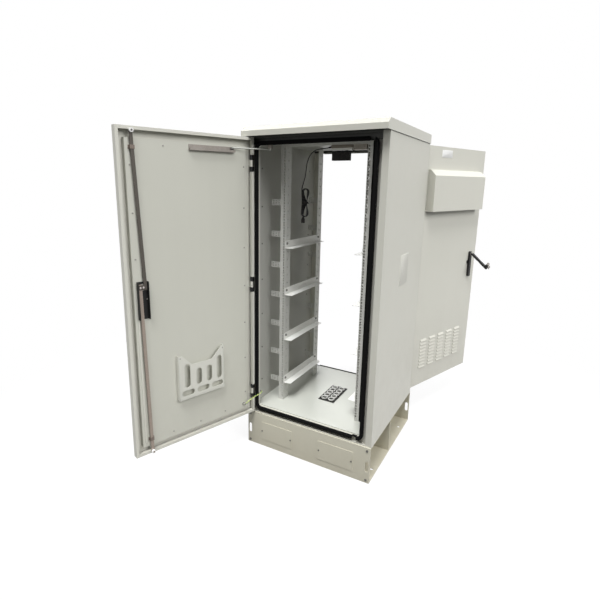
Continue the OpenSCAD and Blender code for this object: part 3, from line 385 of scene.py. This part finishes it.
plate_back, plate_face, plate_y, plate_z, rivet_in = 374.6, 375.8, (-73, 77), (980, 1145), 8
plate = open_block("side_blank_plate", (plate_back, plate_y[0], plate_z[0]),
                   (plate_face, plate_y[1], plate_z[1]))
pick_edges(plate, lambda c, d: abs(d.x) > 0.9)
bpy.ops.mesh.bevel(offset=0.008, segments=5, affect="EDGES")
pick_faces(plate, lambda c, n: n.x > 0.9)
bpy.ops.mesh.inset(thickness=0.0006, depth=0.0)
bpy.ops.mesh.inset(thickness=0.0007, depth=0.0004)
plate_coat = powder_coat("plate_powder_coat", (0.63, 0.625, 0.57), (0.4, 0.38, 0.33), 0.9, 1.1, 0.2)
close_piece(plate, plate_coat, "cabinet")


def button_screw(head_d, head_h):
    screw = open_round("screw", 16, head_d / 2000, head_h / 1000, (0, 0, head_h / 2000))
    pick_edges(screw, lambda c, d: c.z > head_h * 0.9)
    bpy.ops.mesh.bevel(offset=head_h * 0.0006, segments=2, affect="EDGES")
    pick_faces(screw, lambda c, n: n.z > 0.95)
    bpy.ops.mesh.inset(thickness=head_d * 0.00012, depth=0.0)
    bpy.ops.mesh.inset(thickness=head_d * 0.00004, depth=-head_h * 0.0005)
    bpy.ops.object.mode_set(mode="OBJECT")
    return screw


def set_fasteners(master, name, places, material, body, turn=None):
    copies = []
    for point, axis in places:
        copy = bpy.data.objects.new(name, master.data.copy())
        scene.collection.objects.link(copy)
        stand = Vector(axis).to_track_quat("Z", "Y").to_matrix().to_4x4()
        copy.data.transform((turn or Matrix()) @ Matrix.Translation(Vector(point) / 1000) @ stand)
        copies.append(copy)
    bpy.ops.object.select_all(action="DESELECT")
    for copy in copies:
        copy.select_set(True)
    bpy.context.view_layer.objects.active = copies[0]
    if len(copies) > 1:
        bpy.ops.object.join()
    bpy.ops.object.shade_smooth_by_angle(angle=smooth_angle)
    copies[0].data.materials.append(material)
    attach(copies[0], body)
    bpy.data.objects.remove(master)


plate_corners = [((plate_face - 0.2, y, z), (1, 0, 0)) for y in (plate_y[0] + rivet_in, plate_y[1] - rivet_in)
                 for z in (plate_z[0] + rivet_in, plate_z[1] - rivet_in)]
set_fasteners(button_screw(5, 1.2), "plate_rivets", plate_corners, body_coat, "cabinet")


# Body hinges are zinc castings with a fine black coat, bolted to the gutter from inside; the
# doors' pins turn in them. Handle bases and levers have the same coat.
def black_finish(name, colour, rough, scale, depth, shine):
    made, shader, s = finish_of(name)
    grain = s.noise(scale, 3.0)
    cloud = s.noise(18.0, 4.0)
    cloud.between([c * 0.7 for c in colour], [c * 1.5 for c in colour]).feed(shader, "Base Color")
    (grain * 0.2 + rough).feed(shader, "Roughness")
    grain.emboss(shader, 0.25, depth)
    shader.inputs["Specular IOR Level"].default_value = shine
    return made


black_cast = black_finish("black_casting", (0.014, 0.014, 0.014), 0.34, 700.0, 0.0004, 0.25)
dress(black_cast, "body_hinges", "front_handle_base", "rear_handle_base", "front_lever", "rear_lever")

# The door seals are strips of foamed rubber, matt and black. They are pushed over the lip that
# runs round each opening.
seal_rubber = black_finish("seal_rubber", (0.006, 0.006, 0.006), 0.7, 260.0, 0.0006, 0.06)
dress(seal_rubber, "door_seals")

# Where the lock rods cross it, the seal is pared down to a low rubber tongue that grips the
# edge of the lip.
lip_middle, rod_crossings = -352.8, ((296, 1693), (280, 235))
tongue_places = [((s * x, s * lip_middle, z), (0, 0, 1)) for s in (1, -1) for x, z in rod_crossings]
tongue = open_block("seal_tongue", (-13, -7.8, -2.5), (13, 7.8, 2.5))
pick_edges(tongue, lambda c, d: abs(d.x) > 0.9)
bpy.ops.mesh.bevel(offset=0.0012, segments=3, affect="EDGES")
bpy.ops.object.mode_set(mode="OBJECT")
set_fasteners(tongue, "seal_tongues", tongue_places, seal_rubber, "cabinet")

# Button-head screws of dark plated steel hold the two inner wall liners. They stand in two
# upright rows on each wall.
wall_face, wall_columns, wall_rows = 343, (-275, 275), [366 + 202 * i for i in range(7)]
wall_places = [((s * wall_face, y, z), (-s, 0, 0)) for s in (-1, 1) for y in wall_columns for z in wall_rows]
screw_dark = plated("screw_zinc", (0.3, 0.3, 0.28), (0.14, 0.14, 0.13), 0.6, 0.34, 300.0)
set_fasteners(button_screw(9, 3), "wall_screws", wall_places, screw_dark, "cabinet")

# Rails, cable lugs, shelf angles and the lamp's bar are folded from zinc-coated sheet with a
# faint spangle; square holes for cage nuts run up the rails.
zinc = plated("zinc_sheet", (0.63, 0.63, 0.60), (0.5, 0.5, 0.47), 0.2, 0.36, 190.0)
dress(zinc, "front_rails", "rear_rails", "cable_lugs", "lamp_bar", "vent_screen")
# Painted light: the shelf angles get a much brighter copy of the zinc, for their lit top ledges.
lit_zinc_copy = plated("zinc_sheet_painted_light", (0.85, 0.85, 0.82), (0.73, 0.73, 0.7), 0.1, 0.36, 190.0)
dress(lit_zinc_copy, "shelf_angles")

# A black strip stands along the outer edge of the right front rail and closes the gap to the door
# frame: a dark sheet put where there is shade, which is painted shade.
rail_low, rail_high = (corner[2] * 1000 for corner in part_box("front_rails"))
strip = open_block("rail_shade_strip", (253.5, -226.2, rail_low + 2), (281, -223.8, rail_high - 2))
pick_edges(strip, lambda c, d: abs(d.z) > 0.9)
bpy.ops.mesh.bevel(offset=0.0009, segments=2, affect="EDGES")
pick_faces(strip, lambda c, n: n.y < -0.9)
bpy.ops.mesh.inset(thickness=0.003, depth=0.0)
bpy.ops.mesh.inset(thickness=0.0006, depth=-0.0006)
# Painted shade: near-black for the shaded gap beside the rail.
gap_shade_black = black_finish("gap_shade_black", (0.008, 0.008, 0.008), 0.6, 300.0, 0.0003, 0.08)
close_piece(strip, gap_shade_black, "cabinet")


# Each shelf angle hangs on two hex bolts of dark plated steel. They go through the rails, with
# a washer under each head.
def hex_bolt(across, head_h, washer_d):
    washer_h = 0.0012
    bolt = open_round("bolt", 6, across / 1732, head_h / 1000, (0, 0, washer_h + head_h / 2000))
    pick_edges(bolt, lambda c, d: c.z > head_h)
    bpy.ops.mesh.bevel(offset=head_h * 0.0002, segments=2, affect="EDGES")
    bpy.ops.mesh.primitive_cylinder_add(vertices=20, radius=washer_d / 2000, depth=washer_h,
                                        location=(0, 0, washer_h / 2))
    pick_edges(bolt, lambda c, d: 1.1 < c.z < 1.3 and c.xy.length > across * 0.55)
    bpy.ops.mesh.bevel(offset=0.0003, segments=1, affect="EDGES")
    bpy.ops.object.mode_set(mode="OBJECT")
    return bolt


rail_inside, rail_rows, shelf_step = 223, (-206, 181), 266.7
bolt_heights = [377 + shelf_step * i for i in range(4)]
shelf_places = [((s * rail_inside, y, z), (-s, 0, 0)) for s in (-1, 1) for y in rail_rows for z in bolt_heights]
set_fasteners(hex_bolt(10, 4.5, 15), "shelf_bolts", shelf_places, screw_dark, "cabinet")

# The gland plate in the floor is black moulded plastic with two rows of white cable entries.
# Socket box and stay slider are the same black moulding.
black_mould = black_finish("black_moulding", (0.016, 0.015, 0.014), 0.45, 480.0, 0.0003, 0.15)
dress(black_mould, "gland_plate", "socket_box", "stay_slider")


def white_finish(name, colour, rough):
    made, shader, s = finish_of(name)
    cloud = s.noise(60.0, 4.0)
    cloud.between([c * 0.9 for c in colour], colour).feed(shader, "Base Color")
    (cloud * 0.15 + rough).feed(shader, "Roughness")
    return made


entry_white = white_finish("entry_white", (0.78, 0.78, 0.75), 0.4)
dress(entry_white, "cable_entries")

# The lamp is a folded olive-brown housing under the bar with an opal strip below it and its
# perforated driver box beside it, all screwed to the bar.
opal = white_finish("opal_strip", (0.92, 0.91, 0.88), 0.25)
dress(opal, "lamp_diffuser")
lamp_brown = plated("lamp_brown", (0.23, 0.205, 0.165), (0.14, 0.12, 0.095), 0.2, 0.4, 240.0)
dress(lamp_brown, "lamp_housing")
driver_brown = plated("driver_brown", (0.4, 0.37, 0.32), (0.27, 0.245, 0.21), 0.3, 0.38, 240.0)
dress(driver_brown, "lamp_driver")

# A round socket is let into the front of the box below the lamp: a moulded dish with a raised
# rim round its well and a flat middle.
facing_front = (math.pi / 2, 0, 0)
dish = open_round("socket_dish", 32, 0.0175, 0.004, (0.098, -0.2277, 1.634), facing_front)
pick_faces(dish, lambda c, n: n.y < -0.9)
bpy.ops.mesh.inset(thickness=0.0022, depth=0.0)
bpy.ops.mesh.inset(thickness=0.0012, depth=-0.003)
bpy.ops.mesh.inset(thickness=0.009, depth=0.0)
bpy.ops.mesh.inset(thickness=0.0006, depth=0.0008)
close_piece(dish, black_mould, "cabinet")


# The lamp's lead is a round black two-core cord. It leaves the housing through a ribbed boot,
# hangs down, and its spare length is folded into a hank with a tie; a moulded plug ends it.
def ribbed_boot(name, start, step, first_r, last_r, ribs):
    ahead_way = step.normalized()
    boot = open_round(name, 16, first_r, step.length * 0.6, start + step * 0.3,
                      step.to_track_quat("Z", "Y").to_euler())

    def width(k):
        return 1 + (last_r / first_r - 1) * k / ribs

    for k in range(ribs):
        end = (start + step * (0.6 + k)) * 1000
        pick_faces(boot, lambda c, n: n.dot(ahead_way) > 0.9 and (c - end).dot(ahead_way) > -0.05)
        bpy.ops.mesh.inset(thickness=first_r * 0.2, depth=0.0)
        bpy.ops.mesh.extrude_region_move(TRANSFORM_OT_translate={"value": step * 0.4})
        if k < ribs - 1:
            growth = min(width(k + 1) / (0.8 * width(k)), 1.25)
            bpy.ops.mesh.extrude_region_move(TRANSFORM_OT_translate={"value": step * 0.0001})
            bpy.ops.transform.resize(value=(growth,) * 3, center_override=(start + step * (1 + k)))
            bpy.ops.mesh.extrude_region_move(TRANSFORM_OT_translate={"value": step * 0.6})
    return boot


def smooth_route(points, steps):
    out = []
    for i in range(len(points) - 1):
        a = Vector(points[max(i - 1, 0)])
        b = Vector(points[i])
        c = Vector(points[i + 1])
        d = Vector(points[min(i + 2, len(points) - 1)])
        for k in range(steps):
            t = k / steps
            out.append((2 * b + (c - a) * t + (2 * a - 5 * b + 4 * c - d) * t * t
                        + (3 * b - a - 3 * c + d) * t ** 3) / 2000)
    out.append(Vector(points[-1]) / 1000)
    return out


def cord_along(name, points, diameter):
    curve = bpy.data.curves.new(name, "CURVE")
    curve.dimensions = "3D"
    curve.bevel_depth = diameter / 2
    curve.bevel_resolution = 4
    curve.use_fill_caps = True
    line = curve.splines.new("POLY")
    line.points.add(len(points) - 1)
    for p, q in zip(line.points, points):
        p.co = (*q, 1)
    made = bpy.data.objects.new(name, curve)
    scene.collection.objects.link(made)
    return made


def length_of(points):
    return sum((b - a).length for a, b in zip(points, points[1:]))


lead_d = 0.005
hank_x, hank_low, hank_high, hank_r = -107.5, 1346.5, 1458.5, 16
pinches = (13.5, 10.2, 7.0, 3.8, 0.8)
layer_step, hank_steps = 5.2, 8
layers = [-230.5 + layer_step * i for i in range(len(pinches))]
plug_x, plug_y, plug_low, plug_top = -122, -214, 1296, 1318


def run_width(z, pinch):
    swing = math.cos(2 * math.pi * (z - hank_low) / (hank_high - hank_low))
    return pinch + (hank_r - pinch) * (swing + 1) / 2


lead_route = [(34.5, -213, 1680.5), (-5.5, -213, 1674.5), (-55.5, -214, 1668.5), (-87.5, -216, 1642.5),
              (-103.5, -218, 1600.5), (-108, -220, 1560), (-111, -222, 1532), (-119, -225, 1500),
              (hank_x - hank_r + 0.6, layers[0], hank_high + 18)]
for y, pinch in zip(layers, pinches):
    for k in range(hank_steps + 1):
        z = hank_high + (hank_low - hank_high) * k / hank_steps
        lead_route.append((hank_x - run_width(z, pinch), y, z))
    if y == layers[-1]:
        break
    for k in range(1, hank_steps):
        a = math.pi + math.pi * k / hank_steps
        lead_route.append((hank_x + hank_r * math.cos(a), y, hank_low + hank_r * math.sin(a)))
    for k in range(hank_steps + 1):
        z = hank_low + (hank_high - hank_low) * k / hank_steps
        shift = layer_step * (1 - math.cos(math.pi * k / hank_steps)) / 4
        lead_route.append((hank_x + run_width(z, pinch), y + shift, z))
    for k in range(1, hank_steps):
        a = math.pi * k / hank_steps
        shift = layer_step * (3 - math.cos(a)) / 4
        lead_route.append((hank_x + hank_r * math.cos(a), y + shift, hank_high + hank_r * math.sin(a)))
lead_route += [(-124.3, -211.5, 1333), (plug_x, plug_y, plug_top - 4)]
lead_points = smooth_route(lead_route, 3)
sheath, sheath_shader, s = finish_of("lead_sheath")
grain = s.noise(420.0, 3.0)
grain.ramp((0.3, (0.005, 0.005, 0.005)), (0.75, (0.014, 0.014, 0.014))).feed(sheath_shader, "Base Color")
(grain * 0.2 + 0.38).feed(sheath_shader, "Roughness")
sheath_shader.inputs["Specular IOR Level"].default_value = 0.15
lead = cord_along("lamp_lead_cord", lead_points, lead_d)
lead.data.materials.append(sheath)

boot_start, boot_step = Vector((0.0352, -0.213, 1.6805)), Vector((-0.0058, 0, -0.0008))
boot = ribbed_boot("lead_boot", boot_start, boot_step, 0.0058, 0.0036, 4)
close_piece(boot, black_mould, "cabinet")

plug = open_block("lead_plug", (plug_x - 9, plug_y - 7, plug_low), (plug_x + 9, plug_y + 7, plug_top))
pick_edges(plug, lambda c, d: abs(d.z) > 0.9)
bpy.ops.mesh.bevel(offset=0.004, segments=3, affect="EDGES")
pick_faces(plug, lambda c, n: n.z > 0.9)
bpy.ops.mesh.inset(thickness=0.0025, depth=0.002)
bpy.ops.mesh.extrude_region_move(TRANSFORM_OT_translate={"value": (0, 0, 0.009)})
bpy.ops.transform.resize(value=(0.55, 0.62, 1), center_override=(plug_x / 1000, plug_y / 1000, 0))
pick_faces(plug, lambda c, n: n.z < -0.9)
bpy.ops.mesh.inset(thickness=0.0016, depth=0.0)
bpy.ops.mesh.inset(thickness=0.0004, depth=-0.003)
for side in (-1, 1):
    bpy.ops.mesh.primitive_cylinder_add(vertices=12, radius=0.002, depth=0.006,
                                        location=((plug_x + side * 3.6) / 1000, plug_y / 1000,
                                                  (plug_low + 2.5) / 1000))
close_piece(plug, black_mould, "cabinet")

tie_mid = Vector((hank_x / 1000, -0.220, (hank_low + hank_high) / 2000))
tie = open_round("hank_tie", 28, 0.0125, 0.009, tie_mid, ends="NOTHING")
bpy.ops.mesh.select_all(action="SELECT")
bpy.ops.transform.resize(value=(1.3, 1.06, 1), center_override=tie_mid)
bpy.ops.object.mode_set(mode="OBJECT")
wall = tie.modifiers.new("wall", "SOLIDIFY")
wall.thickness = 0.0012
wall.offset = 1
bpy.ops.object.modifier_apply(modifier="wall")
bpy.ops.object.mode_set(mode="EDIT")
bpy.ops.mesh.primitive_cube_add(size=1, location=tie_mid + Vector((0.004, -0.0135, 0)),
                                scale=(0.007, 0.004, 0.0085))
pick_faces(tie, lambda c, n: n.y < -0.9 and c.y < -235)
bpy.ops.mesh.inset(thickness=0.0012, depth=0.0008)
close_piece(tie, black_mould, "cabinet")

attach(lead, "cabinet")
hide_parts("lamp_lead", "lead_hank")
round(length_of(lead_points), 3)

# Both doors stand open; their pieces are measured on the closed door and turned about the
# hinge axis. Button-head screws hold the raised inner liner of each door.
hinge_axis = Vector((-0.341, -0.381, 0))
front_open, rear_open = math.radians(108), math.radians(109.4)
front_turn = (Matrix.Translation(hinge_axis) @ Matrix.Rotation(-front_open, 4, "Z")
              @ Matrix.Translation(-hinge_axis))
rear_turn = (Matrix.Rotation(math.pi, 4, "Z") @ Matrix.Translation(hinge_axis)
             @ Matrix.Rotation(-rear_open, 4, "Z") @ Matrix.Translation(-hinge_axis))
both_doors = (("front", front_turn), ("rear", rear_turn))
liner_face, inward = -373, (0, 1, 0)
top_screw = (149, 1656)
liner_points = [(-286.6, z) for z in (1580, 1375, 1170, 965, 760, 555, 350)]
liner_points += [(304, z) for z in (1571, 1369, 1167, 761, 559, 357)]
liner_points += [top_screw, (160, 277), (5, 275), (-150, 277)]
for door, turn in both_doors:
    liner_places = [((x, liner_face, z), inward) for x, z in liner_points
                    if door == "front" or (x, z) != top_screw]
    set_fasteners(button_screw(8, 2.6), door + "_liner_screws", liner_places, bolt_zinc, door + "_door",
                  turn)

# Beside each lower lock rod a narrow painted strip stiffens the liner; it is folded from thin
# sheet and spot welded.
for door, turn in both_doors:
    strip = open_block(door + "_rod_strip", (301.5, liner_face - 0.4, 272), (311, liner_face + 4, 885))
    pick_edges(strip, lambda c, d: abs(d.z) > 0.9 and c.y > liner_face)
    bpy.ops.mesh.bevel(offset=0.0025, segments=3, affect="EDGES")
    pick_faces(strip, lambda c, n: abs(n.z) > 0.9)
    bpy.ops.mesh.inset(thickness=0.0008, depth=-0.003)
    close_piece(strip, body_coat, door + "_door", turn)


# The document pocket is bent from thin sheet in the door's coat, with a dipped front edge and
# long round-ended slots punched through it; its sides are spot welded to the liner.
def cut_out(piece, cutter):
    clear_selection()
    tool = piece.modifiers.new("cut", "BOOLEAN")
    tool.object = cutter
    tool.solver = "EXACT"
    piece.select_set(True)
    bpy.context.view_layer.objects.active = piece
    bpy.ops.object.modifier_apply(modifier="cut")
    bpy.data.objects.remove(cutter)


pocket_x, pocket_z, pocket_h, pocket_front = 131, 436, 236, -348
pocket_top, pocket_sheet = pocket_z + pocket_h, 2


def round_slot(x0, x1, z0, z1):
    slot = open_block("slot", (x0, pocket_front - 4, z0), (x1, pocket_front + 2, z1))
    pick_edges(slot, lambda c, d: abs(d.y) > 0.9)
    bpy.ops.mesh.bevel(offset=min(x1 - x0, z1 - z0) / 2000 - 0.0001, segments=8, affect="EDGES")
    return slot


pocket = open_block("pocket_sheet", (-pocket_x, liner_face, pocket_z), (pocket_x, pocket_front, pocket_top))
pick_edges(pocket, lambda c, d: c.y > pocket_front - 1 and c.z < pocket_top - 1)
bpy.ops.mesh.bevel(offset=0.003, segments=3, affect="EDGES")
hollow = open_block("hollow", (pocket_sheet - pocket_x, liner_face - 1, pocket_z + pocket_sheet),
                    (pocket_x - pocket_sheet, pocket_front - pocket_sheet, pocket_top + 2))
cut_out(pocket, hollow)
dip = open_block("dip", (-112.7, liner_face + 2, pocket_top - 56), (112.7, pocket_front + 2, pocket_top + 1))
pick_faces(dip, lambda c, n: n.z < -0.9)
bpy.ops.transform.resize(value=(0.512, 1, 1), center_override=(0, 0, 0))
cut_out(pocket, dip)
for at, top in ((0.055, 0.8), (0.285, 0.64), (0.515, 0.64), (0.765, 0.8)):
    left = -pocket_x + 2 * pocket_x * at
    cut_out(pocket, round_slot(left, left + 31.5, pocket_z + 64, pocket_z + pocket_h * top))
for at in (0.03, 0.35, 0.68):
    left = -pocket_x + 2 * pocket_x * at
    cut_out(pocket, round_slot(left, left + 71, pocket_z + 21, pocket_z + 49))
bpy.ops.object.mode_set(mode="EDIT")
pocket_coat = powder_coat("pocket_powder_coat", (0.6, 0.6, 0.545), (0.4, 0.38, 0.33), 0.4, 0.7, 0.2)
close_piece(pocket, pocket_coat, "front_door", front_turn)
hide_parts("document_pocket")

# Two pop rivets of plated steel hold the document pocket, one in each of the ears that stand
# beside its dipped edge.
pocket_places = [((x, pocket_front, pocket_top - 11), inward) for x in (-122, 122)]
set_fasteners(button_screw(6.5, 1.8), "pocket_rivets", pocket_places, bolt_zinc, "front_door",
              front_turn)

# The door stay is zinc-plated steel: a round rod that turns on a pivot in its bracket, and a
# folded channel that the slider on the rod's other end runs in.
stay_zinc = plated("stay_zinc", (0.34, 0.31, 0.28), (0.2, 0.18, 0.16), 0.5, 0.32, 260.0)
dress(stay_zinc, "stay_channel", "stay_bracket")
rod_zinc = plated("stay_rod_zinc", (0.42, 0.425, 0.39), (0.28, 0.285, 0.26), 0.4, 0.32, 260.0)
dress(rod_zinc, "stay_rod")

# The three-point lock sits in a black folded case; two flat rods lean from its cam to a roller
# at the top and the foot. Rods and rod guides are steel passivated to a brown; the upper rod
# has a much darker copy of it, which is painted shade.
bronze = plated("passivated_steel", (0.34, 0.285, 0.245), (0.22, 0.18, 0.15), 0.45, 0.38, 260.0)
dress(bronze, "front_rod_lower", "rear_rod_lower")
# Painted shade: the upper rods get a much darker brown; the latch tongues use it as their own dark colour.
dark_and_shade_bronze = plated("dark_steel_and_painted_shade", (0.085, 0.075, 0.063), (0.05, 0.043, 0.036), 0.3, 0.42, 260.0)
dress(dark_and_shade_bronze, "front_rod_upper", "rear_rod_upper")
guide_above, guide_below = 1.4, 0.5
case_finish, case_shader, s = finish_of("lock_case_finish")
grain = s.noise(700.0, 3.0)
cloud = s.noise(24.0, 4.0)
height = s.height()
guide = s.sum_node("GREATER_THAN", height, guide_above) + s.sum_node("LESS_THAN", height, guide_below)
black = cloud.between((0.007, 0.007, 0.007), (0.018, 0.018, 0.018))
brown = cloud.between((0.13, 0.105, 0.088), (0.23, 0.19, 0.165))
guide.between(black, brown).feed(case_shader, "Base Color")
(guide * 0.45).feed(case_shader, "Metallic")
(grain * 0.2 + 0.36).feed(case_shader, "Roughness")
grain.emboss(case_shader, 0.2, 0.0004)
case_shader.inputs["Specular IOR Level"].default_value = 0.2
dress(case_finish, "front_lock_case", "rear_lock_case")

# A latch tongue is bolted across each lock's cam: a pressed plate with a round end over the
# spindle and a square end towards the free edge of the door, under two nickel heads.
lock_x, lock_z = 282, 1040
tongue_back, tongue_front = -360.2, -357.4
nickel = plated("nickel", (0.56, 0.52, 0.5), (0.36, 0.325, 0.31), 0.75, 0.24, 400.0)
for door, turn in both_doors:
    tongue = open_block(door + "_latch_tongue", (lock_x - 12, tongue_back, lock_z - 11),
                        (lock_x + 24.5, tongue_front, lock_z + 11))
    pick_edges(tongue, lambda c, d: abs(d.y) > 0.9 and c.x < lock_x)
    bpy.ops.mesh.bevel(offset=0.009, segments=5, affect="EDGES")
    pick_edges(tongue, lambda c, d: abs(d.y) > 0.9 and c.x > lock_x + 20)
    bpy.ops.mesh.bevel(offset=0.003, segments=3, affect="EDGES")
    pick_faces(tongue, lambda c, n: n.y > 0.9)
    bpy.ops.mesh.inset(thickness=0.0006, depth=0.0004)
    close_piece(tongue, dark_and_shade_bronze, door + "_spindle", turn)
    latch_places = [((x, tongue_front + 0.2, lock_z), inward) for x in (lock_x, lock_x + 14)]
    set_fasteners(button_screw(10, 3.4), door + "_latch_bolts", latch_places, nickel, door + "_spindle",
                  turn)

# Small screws of plated steel with bright heads hold each lock case to its door, one high and
# one low.
case_places = [((262.5, -369.8, z), inward) for z in (1056, 982)]
for door, turn in both_doors:
    set_fasteners(button_screw(5.5, 2.4), door + "_case_screws", case_places, bolt_zinc, door + "_door",
                  turn)

# The rollers of the lock are turned from white nylon. They run on pins in the ends of the
# rods.
nylon = white_finish("white_nylon", (0.88, 0.88, 0.87), 0.28)
dress(nylon, "front_roller_top", "front_roller_bottom", "rear_roller_top", "rear_roller_bottom")


# The earth wire bonds the front door to the left wall: stranded copper in a pale yellow and
# green sheath, crimped to studs with nuts, slack enough for the door to swing.
def crimp_sleeve(name, start, way, body):
    sleeve = open_round(name, 16, 0.0034, 0.011, start + way * 0.0055, way.to_track_quat("Z", "Y").to_euler())
    pick_faces(sleeve, lambda c, n: abs(n.dot(way)) > 0.9)
    bpy.ops.mesh.inset(thickness=0.0006, depth=0.0004)
    close_piece(sleeve, bolt_zinc, body)


earth_d = 0.005
door_stud, wall_stud = ((-273, -372.8, 279), inward), ((-342.8, -327, 318), (1, 0, 0))
earth_route = [(-340, -452, 279), (-329, -455, 292), (-314, -443, 310), (-300, -411, 322), (-297, -375, 322),
               (-300, -345, 320), (-309, -330, 318), (-326, -327, 318)]
earth_points = smooth_route(earth_route, 6)
earth, earth_shader, s = finish_of("earth_wire_sheath")
band = s.out(s.node("ShaderNodeTexWave", {"wave_type": "BANDS", "bands_direction": "DIAGONAL"},
                    Vector=s, Scale=26.0, Distortion=0.6, Detail=1.0))
band.ramp((0.5, (0.66, 0.66, 0.22)), (0.6, (0.22, 0.42, 0.12))).feed(earth_shader, "Base Color")
(band * 0.1 + 0.4).feed(earth_shader, "Roughness")
wire = cord_along("earth_wire_cord", earth_points, earth_d)
wire.data.materials.append(earth)
clear_selection()
wire.select_set(True)
bpy.context.view_layer.objects.active = wire
bpy.ops.object.convert(target="MESH")
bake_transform(wire)
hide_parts("earth_wire")
round(length_of(earth_points), 3)
door_way = (earth_points[3] - earth_points[0]).normalized()
wall_way = (earth_points[-4] - earth_points[-1]).normalized()
crimp_sleeve("earth_crimp_door", earth_points[0], door_way, "front_door")
crimp_sleeve("earth_crimp_wall", earth_points[-1], wall_way, "cabinet")
set_fasteners(hex_bolt(13, 5, 17), "earth_nut_door", [door_stud], bolt_zinc, "front_door",
              front_turn)
set_fasteners(hex_bolt(13, 5, 17), "earth_nut_wall", [wall_stud], bolt_zinc, "cabinet")

# A small blank plate is glued to the rear door above the hood. It is thin white plastic with
# round corners, and it is bare.
tag = open_block("rear_blank_plate", (-172, -397.8, 1664), (-56, -396.8, 1708))
pick_edges(tag, lambda c, d: abs(d.y) > 0.9)
bpy.ops.mesh.bevel(offset=0.004, segments=4, affect="EDGES")
pick_faces(tag, lambda c, n: n.y < -0.9)
bpy.ops.mesh.inset(thickness=0.0005, depth=0.0003)
tag_white = white_finish("tag_white", (0.74, 0.74, 0.73), 0.35)
close_piece(tag, tag_white, "rear_door", rear_turn)

# Each lever carries a key barrel near its end: a black turned collar with a sunk face. It is
# set on the lever while that hangs straight, and lifted with it.
lever_pivot, lever_up = Vector((0.282, -0.4208, 1.040)), math.radians(52)
lever_lift = Matrix.Translation(lever_pivot) @ Matrix.Rotation(-lever_up, 4, "X")
barrel_z = -0.124
for door, turn in both_doors:
    barrel = open_round(door + "_key_barrel", 28, 0.0085, 0.014, (0, -0.011, barrel_z), facing_front)
    pick_faces(barrel, lambda c, n: n.y < -0.9)
    bpy.ops.mesh.inset(thickness=0.0008, depth=0.0008)
    bpy.ops.mesh.inset(thickness=0.0014, depth=0.0)
    bpy.ops.mesh.inset(thickness=0.0004, depth=-0.0008)
    close_piece(barrel, black_cast, door + "_lever", turn @ lever_lift)


# A flat nickel key stands in the rear door's barrel, with a wire ring through its bow and a
# spare key on the ring.
def key_shape(name, bow, blade_end):
    bow_r = 0.0092
    way = (blade_end - bow).normalized()
    blade_l = (blade_end - bow).length - bow_r
    key = open_round(name, 20, bow_r, 0.0022, bow, Vector((1, 0, 0)).to_track_quat("Z", "Y").to_euler())
    pick_faces(key, lambda c, n: abs(n.x) > 0.9)
    bpy.ops.mesh.inset(thickness=0.0058, depth=0.0)
    bpy.ops.mesh.bridge_edge_loops()
    pick_faces(key, lambda c, n: n.dot(way) > 0.95 and (c / 1000 - bow).dot(way) > 0.0085)
    bpy.ops.mesh.extrude_region_move(TRANSFORM_OT_translate={"value": way * blade_l})
    return key


key_bow = Vector((0, -0.029, barrel_z))
key = key_shape("lock_key", key_bow, Vector((0, -0.014, barrel_z)))
close_piece(key, nickel, "rear_lever", rear_turn @ lever_lift)
bow_place = lever_lift @ key_bow
spare = key_shape("spare_key", bow_place + Vector((0.004, -0.004, -0.019)),
                  bow_place + Vector((0.004, -0.004, -0.035)))
close_piece(spare, nickel, "rear_lever", rear_turn)
ring_mid = bow_place + Vector((0.002, -0.0015, -0.0105))
clear_selection()
bpy.ops.mesh.primitive_torus_add(major_segments=32, minor_segments=8, major_radius=0.0105, minor_radius=0.0009,
                                 location=ring_mid, rotation=(math.radians(82), 0, math.radians(24)))
ring = opened("key_ring")
bpy.ops.mesh.select_all(action="SELECT")
bpy.ops.transform.resize(value=(1, 1, 1.04), center_override=ring_mid)
close_piece(ring, nickel, "rear_lever", rear_turn)

# The air filter behind the rear louvres is a mat of coarse grey fibre. It lies in a thin
# cassette on the inside of the door.
mat, mat_shader, s = finish_of("filter_mat")
fibre = s.noise(340.0, 6.0, 0.8)
fibre.ramp((0.3, (0.1, 0.105, 0.1)), (0.7, (0.3, 0.31, 0.3))).feed(mat_shader, "Base Color")
(fibre * 0.1 + 0.88).feed(mat_shader, "Roughness")
fibre.emboss(mat_shader, 0.7, 0.002)
dress(mat, "air_filter")
